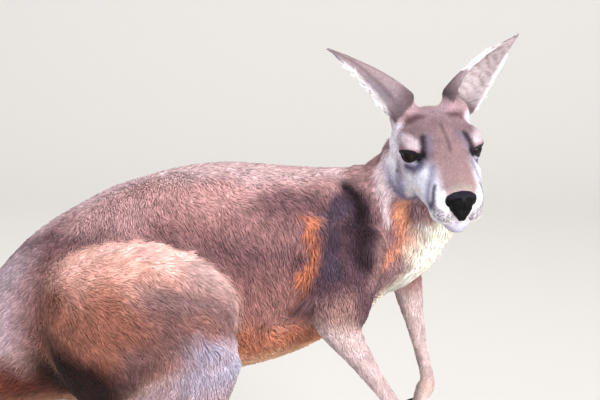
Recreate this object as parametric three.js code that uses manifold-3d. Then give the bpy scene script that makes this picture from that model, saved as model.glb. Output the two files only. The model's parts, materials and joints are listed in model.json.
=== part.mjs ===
// A life-size still model of an adult red kangaroo, standing on its hind feet with the trunk level,
// the forearms hanging, the tail resting behind and the head turned to its right.
//
// Millimetres, +Z up. +X is the way the trunk faces and +Y is the animal's left side. Every sub-part is
// one closed solid that reaches out to the tips of the coat. Neighbours are parted by thin cuts.
import * as THREE from "three";
import { mergeVertices } from "three/addons/utils/BufferGeometryUtils.js";
import Module from "manifold-3d";

const wasm = await Module();
wasm.setup();

// ---- Driving dimensions ----------------------------------------------------------------------------

const CUT_GAP = 0.35; // the thin cut between two sub-parts
const BURIED = -2.2; // how far the feet and tail are made to dip under the floor before they are cut flat

const BACK_HEIGHT = 538; // floor to the top of the back
const BELLY_HEIGHT = 246; // floor to the lowest part of the belly
const TRUNK_HALF_WIDTH = 120;

const HIP = { x: -290, y: 82, z: 384 };
const KNEE = { x: -97, y: 145, z: 312 };
const ANKLE = { x: -306, y: 110, z: 64 };
const FOOT_LENGTH = 318; // heel to the tip of the longest claw
const HEEL_X = -356;

const SHOULDER = { x: 74, y: 60, z: 462 };
const FOREARM_RADIUS = 23; // at its thick end, under the elbow

const TAIL_ROOT_RADIUS = 71;
const TAIL_TIP_RADIUS = 10;

const HEAD_PLACE = [180, -66, 561]; // the point midway between the two eyes
const HEAD_TURN = -72; // degrees to its left, so this is to its right
const HEAD_DROP = 14; // degrees that the nose points down
const HEAD_TILT = 2; // degrees that the head leans over to its right
const HEAD_HALF_WIDTH = 56;
const EYE_RADIUS = 15.5;
const EYE_PLACE = [8, 36.5, 8]; // left eye, in the head's own frame
const EAR_LENGTH = 142;
const EAR_RADIUS = 29; // the ear is a rolled leaf, and this is the roll's radius at its widest
const EAR_THICKNESS = 4.2;

const COLOURS = {
  coat: [0.62, 0.42, 0.33],
  pale_coat: [0.86, 0.79, 0.72],
  grey_coat: [0.6, 0.56, 0.56],
  eye: [0.03, 0.02, 0.02],
  nose: [0.05, 0.05, 0.06],
  claw: [0.08, 0.07, 0.07],
};

// ---- Closed bodies from a sphere's grid ------------------------------------------------------------

const UP = new THREE.Vector3(0, 0, 1);
const FORWARD = new THREE.Vector3(1, 0, 0);

// A closed solid whose surface is place(along, round): along runs from 0 at one pole to 1 at the other.
function solidFrom(sides, rings, place) {
  const geometry = new THREE.SphereGeometry(1, sides, rings);
  const { position, uv } = geometry.attributes;
  for (let i = 0; i < position.count; i++) {
    const along = 1 - uv.getY(i);
    const atPole = along < 1e-6 || along > 1 - 1e-6;
    const round = atPole ? 0 : uv.getX(i) % 1;
    position.setXYZ(i, ...place(along, round).toArray());
  }
  return solidOf(geometry);
}

function solidOf(geometry) {
  const bare = geometry.clone();
  for (const name of ["normal", "uv"]) bare.deleteAttribute(name);
  const merged = mergeVertices(bare, 1e-3);
  const made = new wasm.Manifold(meshOf(merged));
  if (made.volume() > 0) return made;
  for (let i = 0, index = merged.index.array; i < index.length; i += 3) {
    [index[i + 1], index[i + 2]] = [index[i + 2], index[i + 1]];
  }
  return new wasm.Manifold(meshOf(merged));
}

function meshOf(geometry) {
  return new wasm.Mesh({
    numProp: 3,
    vertProperties: new Float32Array(geometry.attributes.position.array),
    triVerts: new Uint32Array(geometry.index.array),
  });
}

function geometryOf(solid) {
  const { vertProperties, triVerts } = solid.getMesh();
  const geometry = new THREE.BufferGeometry();
  geometry.setAttribute("position", new THREE.BufferAttribute(vertProperties, 3));
  geometry.setIndex(new THREE.BufferAttribute(triVerts, 1));
  geometry.computeVertexNormals();
  return geometry;
}

// The same solid with its surface moved out by amount, to cut a neighbour clear of it.
function grown(solid, amount = CUT_GAP) {
  const geometry = geometryOf(solid);
  const { position, normal } = geometry.attributes;
  const point = new THREE.Vector3();
  const out = new THREE.Vector3();
  for (let i = 0; i < position.count; i++) {
    point.fromBufferAttribute(position, i);
    out.fromBufferAttribute(normal, i);
    point.addScaledVector(out, amount);
    position.setXYZ(i, point.x, point.y, point.z);
  }
  return new wasm.Manifold(meshOf(geometry));
}

// A solid with its neighbours cut away. Slivers that a cut leaves behind are dropped.
function cutBy(solid, ...neighbours) {
  let left = solid;
  for (const other of neighbours) left = left.subtract(grown(other));
  return largestOf(left);
}

function largestOf(solid) {
  return solid.decompose().reduce((a, b) => (a.volume() > b.volume() ? a : b));
}

function joined(...solids) {
  return solids.reduce((a, b) => a.add(b));
}

function placed(solid, matrix) {
  const geometry = geometryOf(solid).applyMatrix4(matrix);
  return new wasm.Manifold(meshOf(geometry));
}

// A box between two corners, for cutting with flat faces.
function block(low, high) {
  const size = high.map((v, i) => v - low[i]);
  const geometry = new THREE.BoxGeometry(...size);
  geometry.translate(...low.map((v, i) => v + size[i] / 2));
  return solidOf(geometry);
}

function onFloor(solid) {
  const reach = 2000;
  return solid.subtract(block([-reach, -reach, -reach], [reach, reach, 0]));
}

// An ellipsoid with its own centre, three radii and turn in degrees about X, Y and Z.
function lump(centre, radii, turn = [0, 0, 0], sides = 8, rings = 5) {
  const geometry = new THREE.SphereGeometry(1, sides, rings);
  geometry.scale(...radii);
  const angles = turn.map(THREE.MathUtils.degToRad);
  geometry.applyMatrix4(new THREE.Matrix4().makeRotationFromEuler(new THREE.Euler(...angles)));
  geometry.translate(...centre);
  return solidOf(geometry);
}

// Smooth values between the stations of a body: value(station) at 0..1 along.
function blended(stations, along, value) {
  const last = stations.length - 1;
  const place = Math.min(along * last, last - 1e-9);
  const i = Math.floor(place);
  const at = (k) => value(stations[Math.max(0, Math.min(last, k))]);
  const [a, b, c, d] = [at(i - 1), at(i), at(i + 1), at(i + 2)];
  const f = place - i;
  const rise = (c - a) / 2;
  const fall = (d - b) / 2;
  const f2 = f * f;
  const f3 = f2 * f;
  return b * (2 * f3 - 3 * f2 + 1) + rise * (f3 - 2 * f2 + f) + c * (3 * f2 - 2 * f3) + fall * (f3 - f2);
}

// A station of a swept body: its centre, half width, and reach on its upper and under side.
const station = (x, y, z, side, top, under = top) => ({ at: new THREE.Vector3(x, y, z), side, top, under });

// A limb, trunk or tail: sections carried along a smooth line, with round ends.
// `facing` is the way the sections' upper side looks. `square` above 2 fills their corners.
function sweep(stations, options = {}) {
  const { sides = 14, rings = 12, facing = UP, startCap = 20, endCap = 20, square = 2 } = options;
  const centres = stations.map((s) => s.at);
  const line = new THREE.CatmullRomCurve3(centres, false, "catmullrom", 0.5);
  const length = line.getLength();
  const capped = (distance, cap) => {
    const short = Math.max(0, 1 - distance / cap);
    return Math.sqrt(Math.max(0, 1 - short * short));
  };
  return solidFrom(sides, rings, (along, round) => {
    const eased = (1 - Math.cos(Math.PI * along)) / 2;
    const t = 0.55 * eased + 0.45 * along;
    const tangent = line.getTangent(Math.min(Math.max(t, 1e-4), 1 - 1e-4));
    const across = new THREE.Vector3().crossVectors(facing, tangent).normalize();
    const over = new THREE.Vector3().crossVectors(tangent, across).normalize();
    const angle = round * 2 * Math.PI;
    const [c, s] = [Math.cos(angle), Math.sin(angle)];
    const fill = Math.pow(Math.abs(c) ** square + Math.abs(s) ** square, -1 / square);
    const ends = capped(t * length, startCap) * capped((1 - t) * length, endCap);
    const reach = blended(stations, t, (q) => (s > 0 ? q.top : q.under));
    const point = line.getPoint(t);
    point.addScaledVector(across, blended(stations, t, (q) => q.side) * c * fill * ends);
    return point.addScaledVector(over, reach * s * fill * ends);
  });
}

// ---- Trunk, neck and tail --------------------------------------------------------------------------

const TRUNK_SPLIT_X = -34; // where the ribs end and the loins begin

function makeTrunk() {
  const wide = TRUNK_HALF_WIDTH;
  const deep = (BACK_HEIGHT - BELLY_HEIGHT) / 2;
  const stations = [
    station(-424, 0, 274, 48, 50, 62),
    station(-376, 0, 300, 78, 75, 106),
    station(-312, 0, 337, 99, 108, 140),
    station(-245, 0, 360, wide - 8, deep - 18, deep - 8),
    station(-178, 0, 383, wide, deep - 10),
    station(-108, 0, 395, wide + 1, deep - 6),
    station(-40, 0, 405, wide - 6, deep - 14),
    station(25, 0, 422, wide - 20, deep - 35),
    station(78, 0, 440, wide - 38, deep - 51),
    station(118, 0, 452, 62, 68),
  ];
  return sweep(stations, { sides: 16, rings: 14, startCap: 46, endCap: 60, square: 2.2 });
}

function makeNeck() {
  const stations = [
    station(50, 0, 425, 82, 106, 90),
    station(92, -1, 444, 80, 102, 91),
    station(130, -4, 474, 72, 84, 83),
    station(154, -12, 514, 62, 66, 70),
    station(166, -26, 552, 54, 58, 54),
    station(172, -38, 576, 44, 44, 40),
  ];
  return sweep(stations, { sides: 11, rings: 8, startCap: 60, endCap: 30 });
}

function makeTail() {
  const root = TAIL_ROOT_RADIUS;
  const tip = TAIL_TIP_RADIUS;
  const stations = [
    station(-356, 0, 306, root + 4, root - 4, root + 34),
    station(-432, 0, 262, root - 3, root - 4, root + 18),
    station(-508, 5, 208, root - 13, root - 13, root - 1),
    station(-592, 13, 150, root - 23, root - 22, root - 16),
    station(-682, 24, 98, root - 30, root - 30),
    station(-776, 37, 59, root - 36, root - 35),
    station(-868, 51, 34 + BURIED, root - 40, root - 37),
    station(-962, 65, 27 + BURIED, root - 44, root - 44),
    station(-1048, 76, 19 + BURIED, tip + 9, tip + 9),
    station(-1122, 84, tip + BURIED, tip, tip),
  ];
  return onFloor(sweep(stations, { sides: 12, rings: 17, startCap: 40, endCap: 26 }));
}

// The tail in three lengths, parted by planes across X.
function tailLengths(tail) {
  const cuts = [-2000, -840, -590, 0];
  const names = ["tail_tip", "tail_middle", "tail_base"];
  const half = CUT_GAP / 2;
  return names.map((name, i) => {
    const slab = block([cuts[i] + half, -500, -10], [cuts[i + 1] - half, 500, 800]);
    return [name, tail.intersect(slab)];
  });
}

// ---- Hind legs -------------------------------------------------------------------------------------
// `hand` is +1 for the animal's left side and -1 for its right.

function makeThigh(hand) {
  const stations = [
    station(HIP.x - 26, hand * (HIP.y - 4), HIP.z - 34, 62, 66, 104),
    station(HIP.x + 24, hand * (HIP.y + 16), HIP.z - 28, 76, 86, 134),
    station(HIP.x + 84, hand * (HIP.y + 33), HIP.z - 28, 71, 98, 120),
    station(KNEE.x - 54, hand * (KNEE.y - 15), KNEE.z + 38, 58, 92, 84),
    station(KNEE.x - 8, hand * (KNEE.y - 2), KNEE.z + 30, 48, 68, 52),
    station(KNEE.x + 24, hand * KNEE.y, KNEE.z + 24, 36, 42, 32),
  ];
  return sweep(stations, { sides: 12, rings: 10, startCap: 42, endCap: 28, square: 2.15 });
}

function makeShank(hand) {
  const bone = new THREE.Vector3(ANKLE.x - KNEE.x, hand * (ANKLE.y - KNEE.y), ANKLE.z - KNEE.z);
  const down = (share, side, front, back) => {
    const at = new THREE.Vector3(KNEE.x, hand * KNEE.y, KNEE.z).addScaledVector(bone, share);
    return station(at.x, at.y, at.z, side, front, back);
  };
  const stations = [
    down(-0.1, 34, 30, 36),
    down(0.04, 42, 43, 56),
    down(0.22, 40, 61, 64),
    down(0.42, 33, 49, 50),
    down(0.62, 25, 30, 31),
    down(0.82, 20, 20, 24),
    down(1.0, 21, 21, 21),
    down(1.06, 16, 16, 16),
  ];
  return sweep(stations, { sides: 10, rings: 10, facing: FORWARD, startCap: 34, endCap: 18 });
}

// Where the foot's middle line lies, sideways, at a distance ahead of the heel.
const footY = (hand, ahead) => hand * (106 + 0.05 * ahead);

// A bar of the foot, whose station distances are measured from the heel and lie to one side.
function footBar(hand, marks, options) {
  const stations = marks.map(([ahead, aside, side, top]) =>
    station(HEEL_X + ahead, footY(hand, ahead) + hand * aside, top + BURIED, side, top),
  );
  return onFloor(sweep(stations, { square: 2.6, ...options }));
}

function makeFoot(hand) {
  const heelToBall = FOOT_LENGTH * 0.69;
  const marks = [
    [6, 0, 17, 23],
    [34, 0, 22, 28],
    [82, 0, 20, 23],
    [150, 0, 18, 18],
    [heelToBall - 22, 1, 23, 17],
    [heelToBall, 1, 19, 14],
  ];
  return footBar(hand, marks, { sides: 10, rings: 8, startCap: 18, endCap: 18 });
}

// The toes by name: the great fourth toe, the outer fifth and the thin second and third, bound as a pair.
// Each runs between two distances from the heel, to one side, and ends in its claws.
const TOES = {
  fourth: { from: 204, to: 280, aside: 2, side: 11.5, top: 12, claws: [0], claw: [36, 6.2] },
  fifth: { from: 192, to: 244, aside: 22, side: 9, top: 10, claws: [0], claw: [25, 4.6] },
  pair: { from: 184, to: 236, aside: -19, side: 7.5, top: 8, claws: [-3.6, 3.6], claw: [15, 2.6] },
};

function makeToe(hand, toe) {
  const long = toe.to - toe.from;
  const marks = [
    [toe.from, toe.aside * 0.7, toe.side * 0.9, toe.top],
    [toe.from + long * 0.45, toe.aside, toe.side * 0.86, toe.top * 0.94],
    [toe.to - 8, toe.aside * 1.12, toe.side, toe.top],
    [toe.to, toe.aside * 1.15, toe.side * 0.8, toe.top * 0.8],
  ];
  return footBar(hand, marks, { sides: 7, rings: 5, startCap: 9, endCap: 10 });
}

// A claw grows out of a digit's end along `way`, and droops to a point.
function makeClaw(root, way, length, radius, droop) {
  const start = new THREE.Vector3(...root);
  const ahead = new THREE.Vector3(...way).normalize();
  const drop = new THREE.Vector3(...droop).normalize();
  const part = (share, fall, size) => {
    const at = start.clone().addScaledVector(ahead, length * share).addScaledVector(drop, length * fall);
    return station(at.x, at.y, at.z, size * 0.8, size);
  };
  const stations = [
    part(-0.35, 0, radius * 0.9),
    part(0.1, 0, radius),
    part(0.5, 0.06, radius * 0.72),
    part(0.8, 0.18, radius * 0.4),
    part(1, 0.32, radius * 0.14),
  ];
  return sweep(stations, { sides: 5, rings: 4, facing: drop.clone().negate(), startCap: 3, endCap: 1.5 });
}

function toeClaws(hand, toe) {
  const [length, radius] = toe.claw;
  return toe.claws.map((shift) => {
    const root = [HEEL_X + toe.to - 4, footY(hand, toe.to) + hand * toe.aside * 1.15 + shift, toe.top + 2];
    return makeClaw(root, [1, hand * 0.05, -0.06], length, radius, [0, 0, -1]);
  });
}

// ---- Arms ------------------------------------------------------------------------------------------
// The two arms hang differently, so each has its own elbow, wrist and way that the hand droops. The right
// one is pressed harder against the ribs, which swells its forearm a little.

const ARMS = {
  left: { hand: 1, size: 0.93, elbow: [131, 93, 381], wrist: [169, 82, 219], droop: [-0.4, 0.02, -0.92] },
  right: { hand: -1, size: 1.07, elbow: [40, -98, 358], wrist: [134, -93, 224], droop: [-0.14, 0.1, -0.98] },
};

function makeUpperArm(arm) {
  const shoulder = new THREE.Vector3(SHOULDER.x, arm.hand * SHOULDER.y, SHOULDER.z);
  const elbow = new THREE.Vector3(...arm.elbow);
  const part = (share, side, front, back) => {
    const at = shoulder.clone().lerp(elbow, share);
    return station(at.x, at.y, at.z, side, front, back);
  };
  const stations = [
    part(-0.15, 34, 50, 52),
    part(0.2, 37, 55, 56),
    part(0.55, 33, 55, 47),
    part(0.9, 28, 57, 34),
    part(1.1, 22, 43, 25),
  ];
  return sweep(stations, { sides: 10, rings: 6, facing: FORWARD, startCap: 30, endCap: 18 });
}

function makeForearm(arm) {
  const elbow = new THREE.Vector3(...arm.elbow);
  const wrist = new THREE.Vector3(...arm.wrist);
  const part = (share, side, top, under = top) => {
    const at = elbow.clone().lerp(wrist, share);
    return station(at.x, at.y, at.z, side, top, under);
  };
  const thick = FOREARM_RADIUS * arm.size;
  const stations = [
    part(-0.1, thick * 0.72, thick * 0.72),
    part(0.06, thick * 0.96, thick * 1.28, thick * 1.08),
    part(0.3, thick * 0.78, thick * 0.96, thick * 0.86),
    part(0.6, thick * 0.54, thick * 0.56),
    part(0.86, thick * 0.46, thick * 0.44),
    part(1.0, thick * 0.56, thick * 0.5),
    part(1.05, thick * 0.48, thick * 0.42),
  ];
  return sweep(stations, { sides: 8, rings: 9, facing: FORWARD, startCap: 16, endCap: 8 });
}

const PALM_LENGTH = 36;
const FINGERS = [
  { spread: -16, start: 0.45, length: 25 },
  { spread: -9.5, start: 0.85, length: 31 },
  { spread: -1, start: 0.95, length: 34 },
  { spread: 8, start: 0.88, length: 31 },
  { spread: 15, start: 0.7, length: 26 },
];
const FINGER_RADIUS = 5.2;
const HAND_CLAW = [17, 3.3];

// The hand's own axes: along the fingers, across the knuckles, and out of the back of the hand.
function handAxes(arm) {
  const along = new THREE.Vector3(...arm.droop).normalize();
  const across = new THREE.Vector3(0, 1, 0).cross(along).normalize().cross(along).normalize();
  const back = new THREE.Vector3().crossVectors(along, across).normalize();
  if (back.x < 0) back.negate();
  return { along, across, back };
}

function fingerPoint(arm, finger, share) {
  const { along, across, back } = handAxes(arm);
  const curl = -9 * share * share;
  const ahead = PALM_LENGTH * finger.start + finger.length * share;
  const fan = finger.spread * (0.8 + 0.35 * share);
  const wrist = new THREE.Vector3(...arm.wrist);
  return wrist.addScaledVector(along, ahead).addScaledVector(across, fan).addScaledVector(back, curl);
}

function makeHand(arm) {
  const { along, across } = handAxes(arm);
  const wrist = new THREE.Vector3(...arm.wrist);
  const part = (ahead, side, top) => {
    const at = wrist.clone().addScaledVector(along, ahead);
    return station(at.x, at.y, at.z, side, top);
  };
  const facing = handAxes(arm).back;
  const palm = sweep(
    [part(-6, 12, 11), part(8, 16, 13), part(PALM_LENGTH * 0.7, 20, 11), part(PALM_LENGTH + 5, 15, 8)],
    { sides: 8, rings: 5, facing, startCap: 9, endCap: 9 },
  );
  const fingers = FINGERS.map((finger) => {
    const knuckle = (share, size) => {
      const at = fingerPoint(arm, finger, share);
      return station(at.x, at.y, at.z, FINGER_RADIUS * size, FINGER_RADIUS * size);
    };
    const line = [knuckle(-0.3, 0.9), knuckle(0.3, 1), knuckle(0.75, 0.95), knuckle(1, 0.85)];
    return sweep(line, { sides: 5, rings: 4, facing: across, startCap: 4, endCap: 4 });
  });
  return joined(palm, ...fingers);
}

function handClaws(arm) {
  const [length, radius] = HAND_CLAW;
  const { back } = handAxes(arm);
  return FINGERS.map((finger) => {
    const tip = fingerPoint(arm, finger, 0.93);
    const way = fingerPoint(arm, finger, 1).sub(fingerPoint(arm, finger, 0.7));
    return makeClaw(tip.toArray(), way.toArray(), length, radius, back.clone().negate().toArray());
  });
}

// ---- Head ------------------------------------------------------------------------------------------
// In the head's own frame +X points along the muzzle, +Y to its left and +Z up, from between the eyes.

const mirrored = ([x, y, z], hand) => [x, hand * y, z];

function makeSkullForm() {
  const wide = HEAD_HALF_WIDTH;
  const stations = [
    station(-78, 0, 2, 38, 34, 36),
    station(-56, 0, 2, wide - 3, 43, 52),
    station(-30, 0, 0, wide, 47, 62),
    station(-4, 0, -4, wide - 1, 45, 64),
    station(20, 0, -11, wide - 6, 41, 58),
    station(44, 0, -19, wide - 13, 38, 47),
    station(66, 0, -27, wide - 18, 34, 37),
    station(84, 0, -32, wide - 22, 29, 31),
    station(98, 0, -35, wide - 31, 22, 25),
  ];
  return sweep(stations, { sides: 12, rings: 12, startCap: 30, endCap: 17, square: 2.25 });
}

function makeHeadForm() {
  const pairs = [1, -1].flatMap((hand) => [
    lump(mirrored([-20, 36, -34], hand), [42, 23, 40], [hand * 6, 14, hand * -9]), // cheek and jaw muscle
    lump(mirrored([3, 41, 22], hand), [25, 14, 11], [hand * -18, 10, hand * -8]), // brow over the eye
    lump(mirrored([75, 18, -42], hand), [23, 18, 19], [0, 12, hand * -6]), // whisker pad
    lump(mirrored([-48, 31, 30], hand), [25, 23, 24], [hand * -34, 0, 0]), // ear root
  ]);
  const chin = lump([72, 0, -60], [26, 18, 13], [0, 8, 0], 7, 5);
  return joined(makeSkullForm(), ...pairs, chin);
}

// The hollow in front of and round each eye, which the lids close in life.
function makeOrbit(hand) {
  return lump(mirrored([26, 46, 8], hand), [24, 15, 12], [hand * 4, 14, hand * -24], 8, 5);
}

function makeEye(hand) {
  return lump(mirrored(EYE_PLACE, hand), [EYE_RADIUS, EYE_RADIUS, EYE_RADIUS], [90, 0, 0], 10, 6);
}

// The bare pad between the nostrils, and the narrow strip that runs from it down to the lip.
function noseParts() {
  const pad = lump([92, 0, -22], [13, 21, 14], [0, 24, 0], 10, 6);
  const strip = lump([97, 0, -37], [7, 6, 12], [0, 10, 0], 6, 4);
  return [pad, strip];
}

// An ear is a rolled leaf: an arc of wall that is nearly closed at the root and open above it.
// `pointing` is the way that it stands and `opening` the way that its mouth looks, in the head's frame.
function makeEar(hand, pointing, opening) {
  const root = new THREE.Vector3(...mirrored([-50, 33, 36], hand));
  const line = new THREE.Vector3(...mirrored(pointing, hand)).normalize();
  const mouth = new THREE.Vector3(...mirrored(opening, hand)).projectOnPlane(line).normalize();
  const side = new THREE.Vector3().crossVectors(line, mouth);
  const shape = [
    { radius: 0.84, half: 2.7 },
    { radius: 0.96, half: 2.25 },
    { radius: 1.0, half: 1.85 },
    { radius: 0.96, half: 1.62 },
    { radius: 0.85, half: 1.48 },
    { radius: 0.68, half: 1.36 },
    { radius: 0.47, half: 1.25 },
    { radius: 0.26, half: 1.15 },
    { radius: 0.1, half: 1.05 },
  ];
  return solidFrom(14, 10, (along, round) => {
    const radius = EAR_RADIUS * blended(shape, along, (q) => q.radius);
    const half = blended(shape, along, (q) => q.half);
    const wall = Math.min(EAR_THICKNESS * (1.1 - 0.55 * along), radius * 0.6);
    const inside = round > 0.5;
    const sweepShare = inside ? 1 - 2 * (round - 0.5) : 2 * round;
    const angle = Math.PI + half * (2 * sweepShare - 1);
    const ends = Math.sqrt(Math.max(0, 1 - (2 * along - 1) ** 14));
    const edge = Math.sin(Math.PI * sweepShare) > 0.05 ? 1 : 0.5;
    const away = (radius - (inside ? wall * edge : 0)) * ends;
    const height = EAR_LENGTH * (along * 1.08 - 0.08);
    const bow = 9 * Math.sin(Math.PI * along);
    const point = root.clone().addScaledVector(line, height);
    point.addScaledVector(mouth, away * Math.cos(angle) + bow * 0.4);
    return point.addScaledVector(side, away * Math.sin(angle));
  });
}

// ---- Assembly --------------------------------------------------------------------------------------

const model = new THREE.Group();
const headGroup = new THREE.Group();
headGroup.position.set(...HEAD_PLACE);
const degrees = THREE.MathUtils.degToRad;
headGroup.rotation.set(degrees(HEAD_TILT), degrees(HEAD_DROP), degrees(HEAD_TURN), "ZYX");
headGroup.updateMatrix();
model.add(headGroup);

function addNode(group, name, solid, colour, roughness = 0.9) {
  const material = new THREE.MeshStandardMaterial({ roughness, metalness: 0 });
  material.color.setRGB(...COLOURS[colour]);
  const mesh = new THREE.Mesh(geometryOf(solid), material);
  mesh.name = name;
  group.add(mesh);
}

const toTrunk = headGroup.matrix;
const toHead = headGroup.matrix.clone().invert();

// Head
const eyes = { left: makeEye(1), right: makeEye(-1) };
const nose = noseParts();
const headForm = makeHeadForm().subtract(makeOrbit(1)).subtract(makeOrbit(-1));
const head = cutBy(headForm, eyes.left, eyes.right, ...nose);
const ears = {
  left: makeEar(1, [-0.3, 0.74, 0.6], [0.86, 0.5, 0.1]),
  right: makeEar(-1, [-0.3, 0.75, 0.61], [-0.4, 0.9, 0.1]),
};
addNode(headGroup, "head", head, "grey_coat");
addNode(headGroup, "nose", joined(...nose), "nose", 0.45);
for (const side of ["left", "right"]) {
  addNode(headGroup, "eye_" + side, eyes[side], "eye", 0.12);
  addNode(headGroup, "ear_" + side, cutBy(ears[side], headForm), "grey_coat");
}

// Trunk, neck and tail
const trunk = makeTrunk();
const reach = 1000;
const chest = trunk.intersect(block([TRUNK_SPLIT_X + CUT_GAP / 2, -reach, 0], [reach, reach, reach]));
const loins = trunk.intersect(block([-reach, -reach, 0], [TRUNK_SPLIT_X - CUT_GAP / 2, reach, reach]));
const headInPlace = placed(headForm, toTrunk);
const neckForm = makeNeck();
const neck = cutBy(neckForm, headInPlace, trunk);
const tail = cutBy(makeTail(), trunk);
addNode(model, "chest", chest, "coat");
addNode(model, "loins", loins, "coat");
addNode(model, "neck", neck, "coat");
for (const [name, length] of tailLengths(tail)) addNode(model, name, length, "coat");

// Hind legs
for (const [side, hand] of [["left", 1], ["right", -1]]) {
  const thighForm = makeThigh(hand);
  const shankForm = makeShank(hand);
  const footForm = makeFoot(hand);
  const thigh = cutBy(thighForm, trunk, tail);
  const shank = cutBy(shankForm, thighForm, trunk);
  const foot = cutBy(footForm, shankForm);
  addNode(model, "thigh_" + side, thigh, "coat");
  addNode(model, "shank_" + side, shank, "pale_coat");
  addNode(model, "foot_" + side, foot, "pale_coat");
  for (const [name, toe] of Object.entries(TOES)) {
    const claws = toeClaws(hand, toe);
    addNode(model, "toe_" + name + "_" + side, cutBy(makeToe(hand, toe), footForm, ...claws), "pale_coat");
    claws.forEach((claw, i) => {
      const number = claws.length > 1 ? "_" + (i + 1) : "";
      addNode(model, "claw_" + name + number + "_" + side, claw, "claw", 0.4);
    });
  }
}

// Arms
for (const [side, arm] of Object.entries(ARMS)) {
  const upperForm = makeUpperArm(arm);
  const forearmForm = makeForearm(arm);
  const upper = cutBy(upperForm, trunk, neckForm);
  const forearm = cutBy(forearmForm, upperForm, trunk);
  const claws = handClaws(arm);
  addNode(model, "upper_arm_" + side, upper, "coat");
  addNode(model, "forearm_" + side, forearm, "pale_coat");
  addNode(model, "hand_" + side, cutBy(makeHand(arm), forearmForm, ...claws), "pale_coat");
  claws.forEach((claw, i) => addNode(model, "claw_finger_" + (i + 1) + "_" + side, claw, "claw", 0.4));
}

// The origin is on the floor, under the middle of the whole model's box.
const box = new THREE.Box3().setFromObject(model, true);
const middle = box.getCenter(new THREE.Vector3());
model.position.set(-middle.x, -middle.y, 0);

export default model;
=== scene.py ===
# %% [markdown]
# # A red kangaroo, life size
# A still model of an adult red kangaroo. The solids of the body come in as a fixed frame: they give
# every length and place. Here they get their looks: one skin over all the flesh, a coat of small solid
# tufts that follow the lie of the hair, wet eyes, a leathery nose and horn claws.

import json
import math

import bmesh
import bpy
import numpy as np
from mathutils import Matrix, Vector
from mathutils.bvhtree import BVHTree

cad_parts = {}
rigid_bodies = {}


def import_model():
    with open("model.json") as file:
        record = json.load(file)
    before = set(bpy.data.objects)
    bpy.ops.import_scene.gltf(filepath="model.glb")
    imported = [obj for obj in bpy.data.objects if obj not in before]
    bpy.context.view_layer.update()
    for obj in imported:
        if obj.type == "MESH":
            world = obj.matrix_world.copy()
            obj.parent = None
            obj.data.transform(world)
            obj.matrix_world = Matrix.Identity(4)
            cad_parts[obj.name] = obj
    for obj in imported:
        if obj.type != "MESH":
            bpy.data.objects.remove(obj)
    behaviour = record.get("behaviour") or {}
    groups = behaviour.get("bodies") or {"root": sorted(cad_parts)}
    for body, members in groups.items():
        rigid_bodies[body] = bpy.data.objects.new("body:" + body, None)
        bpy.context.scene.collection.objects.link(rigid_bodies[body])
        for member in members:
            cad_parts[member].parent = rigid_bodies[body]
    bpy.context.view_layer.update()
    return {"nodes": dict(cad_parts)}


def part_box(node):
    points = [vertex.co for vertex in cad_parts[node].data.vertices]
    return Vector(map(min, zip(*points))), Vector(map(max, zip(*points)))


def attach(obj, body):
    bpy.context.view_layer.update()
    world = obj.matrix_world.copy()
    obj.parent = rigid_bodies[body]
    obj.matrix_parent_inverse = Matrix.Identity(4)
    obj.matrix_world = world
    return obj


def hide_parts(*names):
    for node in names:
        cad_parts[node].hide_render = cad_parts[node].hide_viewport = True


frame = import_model()
solids = frame["nodes"]
MM = 0.001
print(len(solids), "solids in the frame")

# %% [markdown]
# ## Two rulers
# Markings and folds are easier to place with a ruler laid on the animal than in the room's axes. Both
# rulers are in millimetres. The body ruler starts on the floor under the ribs, and runs ahead, to the left
# and up. The head ruler starts between the eyes, and runs along the muzzle, to the left and up, so it
# turns with the head. Marks are given for the right side, and the left side mirrors them.

# %% Rulers
def unit(vector):
    return vector / np.linalg.norm(vector)


def centre(name):
    low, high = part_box(name)
    return np.array((low + high) / 2)


RIBS_CUT = -34.175  # millimetres from the body ruler's start to the cut between ribs and loins
EYE_AHEAD, EYE_ABOVE = 8.0, 8.0  # the eyes' place on the head ruler
NOSE_DIP = math.radians(22.49)  # how far below the muzzle's line the nose lies, seen from the eyes

body_start = np.array([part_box("loins")[1].x - RIBS_CUT * MM, 0.0, 0.0])

eye_middles = {side: centre("eye_" + side) for side in ("left", "right")}
between = (eye_middles["left"] + eye_middles["right"]) / 2
to_left = unit(eye_middles["left"] - eye_middles["right"])
nose_points = np.unique([np.round(v.co, 6) for v in solids["nose"].data.vertices], axis=0)
to_nose = nose_points.mean(0) - between
to_nose = unit(to_nose - to_left * (to_nose @ to_left))
rising = np.cross(to_nose, to_left)
ahead = math.cos(NOSE_DIP) * to_nose + math.sin(NOSE_DIP) * rising
head_axes = np.array([ahead, to_left, np.cross(ahead, to_left)])
head_start = between - EYE_AHEAD * MM * head_axes[0] - EYE_ABOVE * MM * head_axes[2]
EYE_ASIDE = float(np.linalg.norm(eye_middles["left"] - eye_middles["right"]) / 2 / MM)


def on_body(points):
    return (points - body_start) / MM


def on_head(points):
    return ((points - head_start) @ head_axes.T) / MM


def from_head(marks):
    return np.asarray(marks, float) * MM @ head_axes + head_start


def as_on_the_right(places):
    """Places on a ruler, with those of the left side mirrored to the right side."""
    return np.stack([places[:, 0], -np.abs(places[:, 1]), places[:, 2]], axis=1)


print("nose on the head ruler", on_head(nose_points.mean(0)).round(1))
print("head ruler points", head_axes.round(3).tolist())

# %% [markdown]
# ## Mesh arithmetic
# A coat is a large number of small things, and a skin is a net of many points. Blender can hand all the
# points of a mesh to numpy at once, which moves them a thousand times faster than a loop would. These
# helpers take points out, put them back, and let a net relax so that its creases melt.

# %% Helpers for many points
def points_of(mesh):
    flat = np.empty(len(mesh.vertices) * 3)
    mesh.vertices.foreach_get("co", flat)
    return flat.reshape(-1, 3)


def normals_of(mesh):
    flat = np.empty(len(mesh.vertices) * 3)
    mesh.vertices.foreach_get("normal", flat)
    return flat.reshape(-1, 3)


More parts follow.
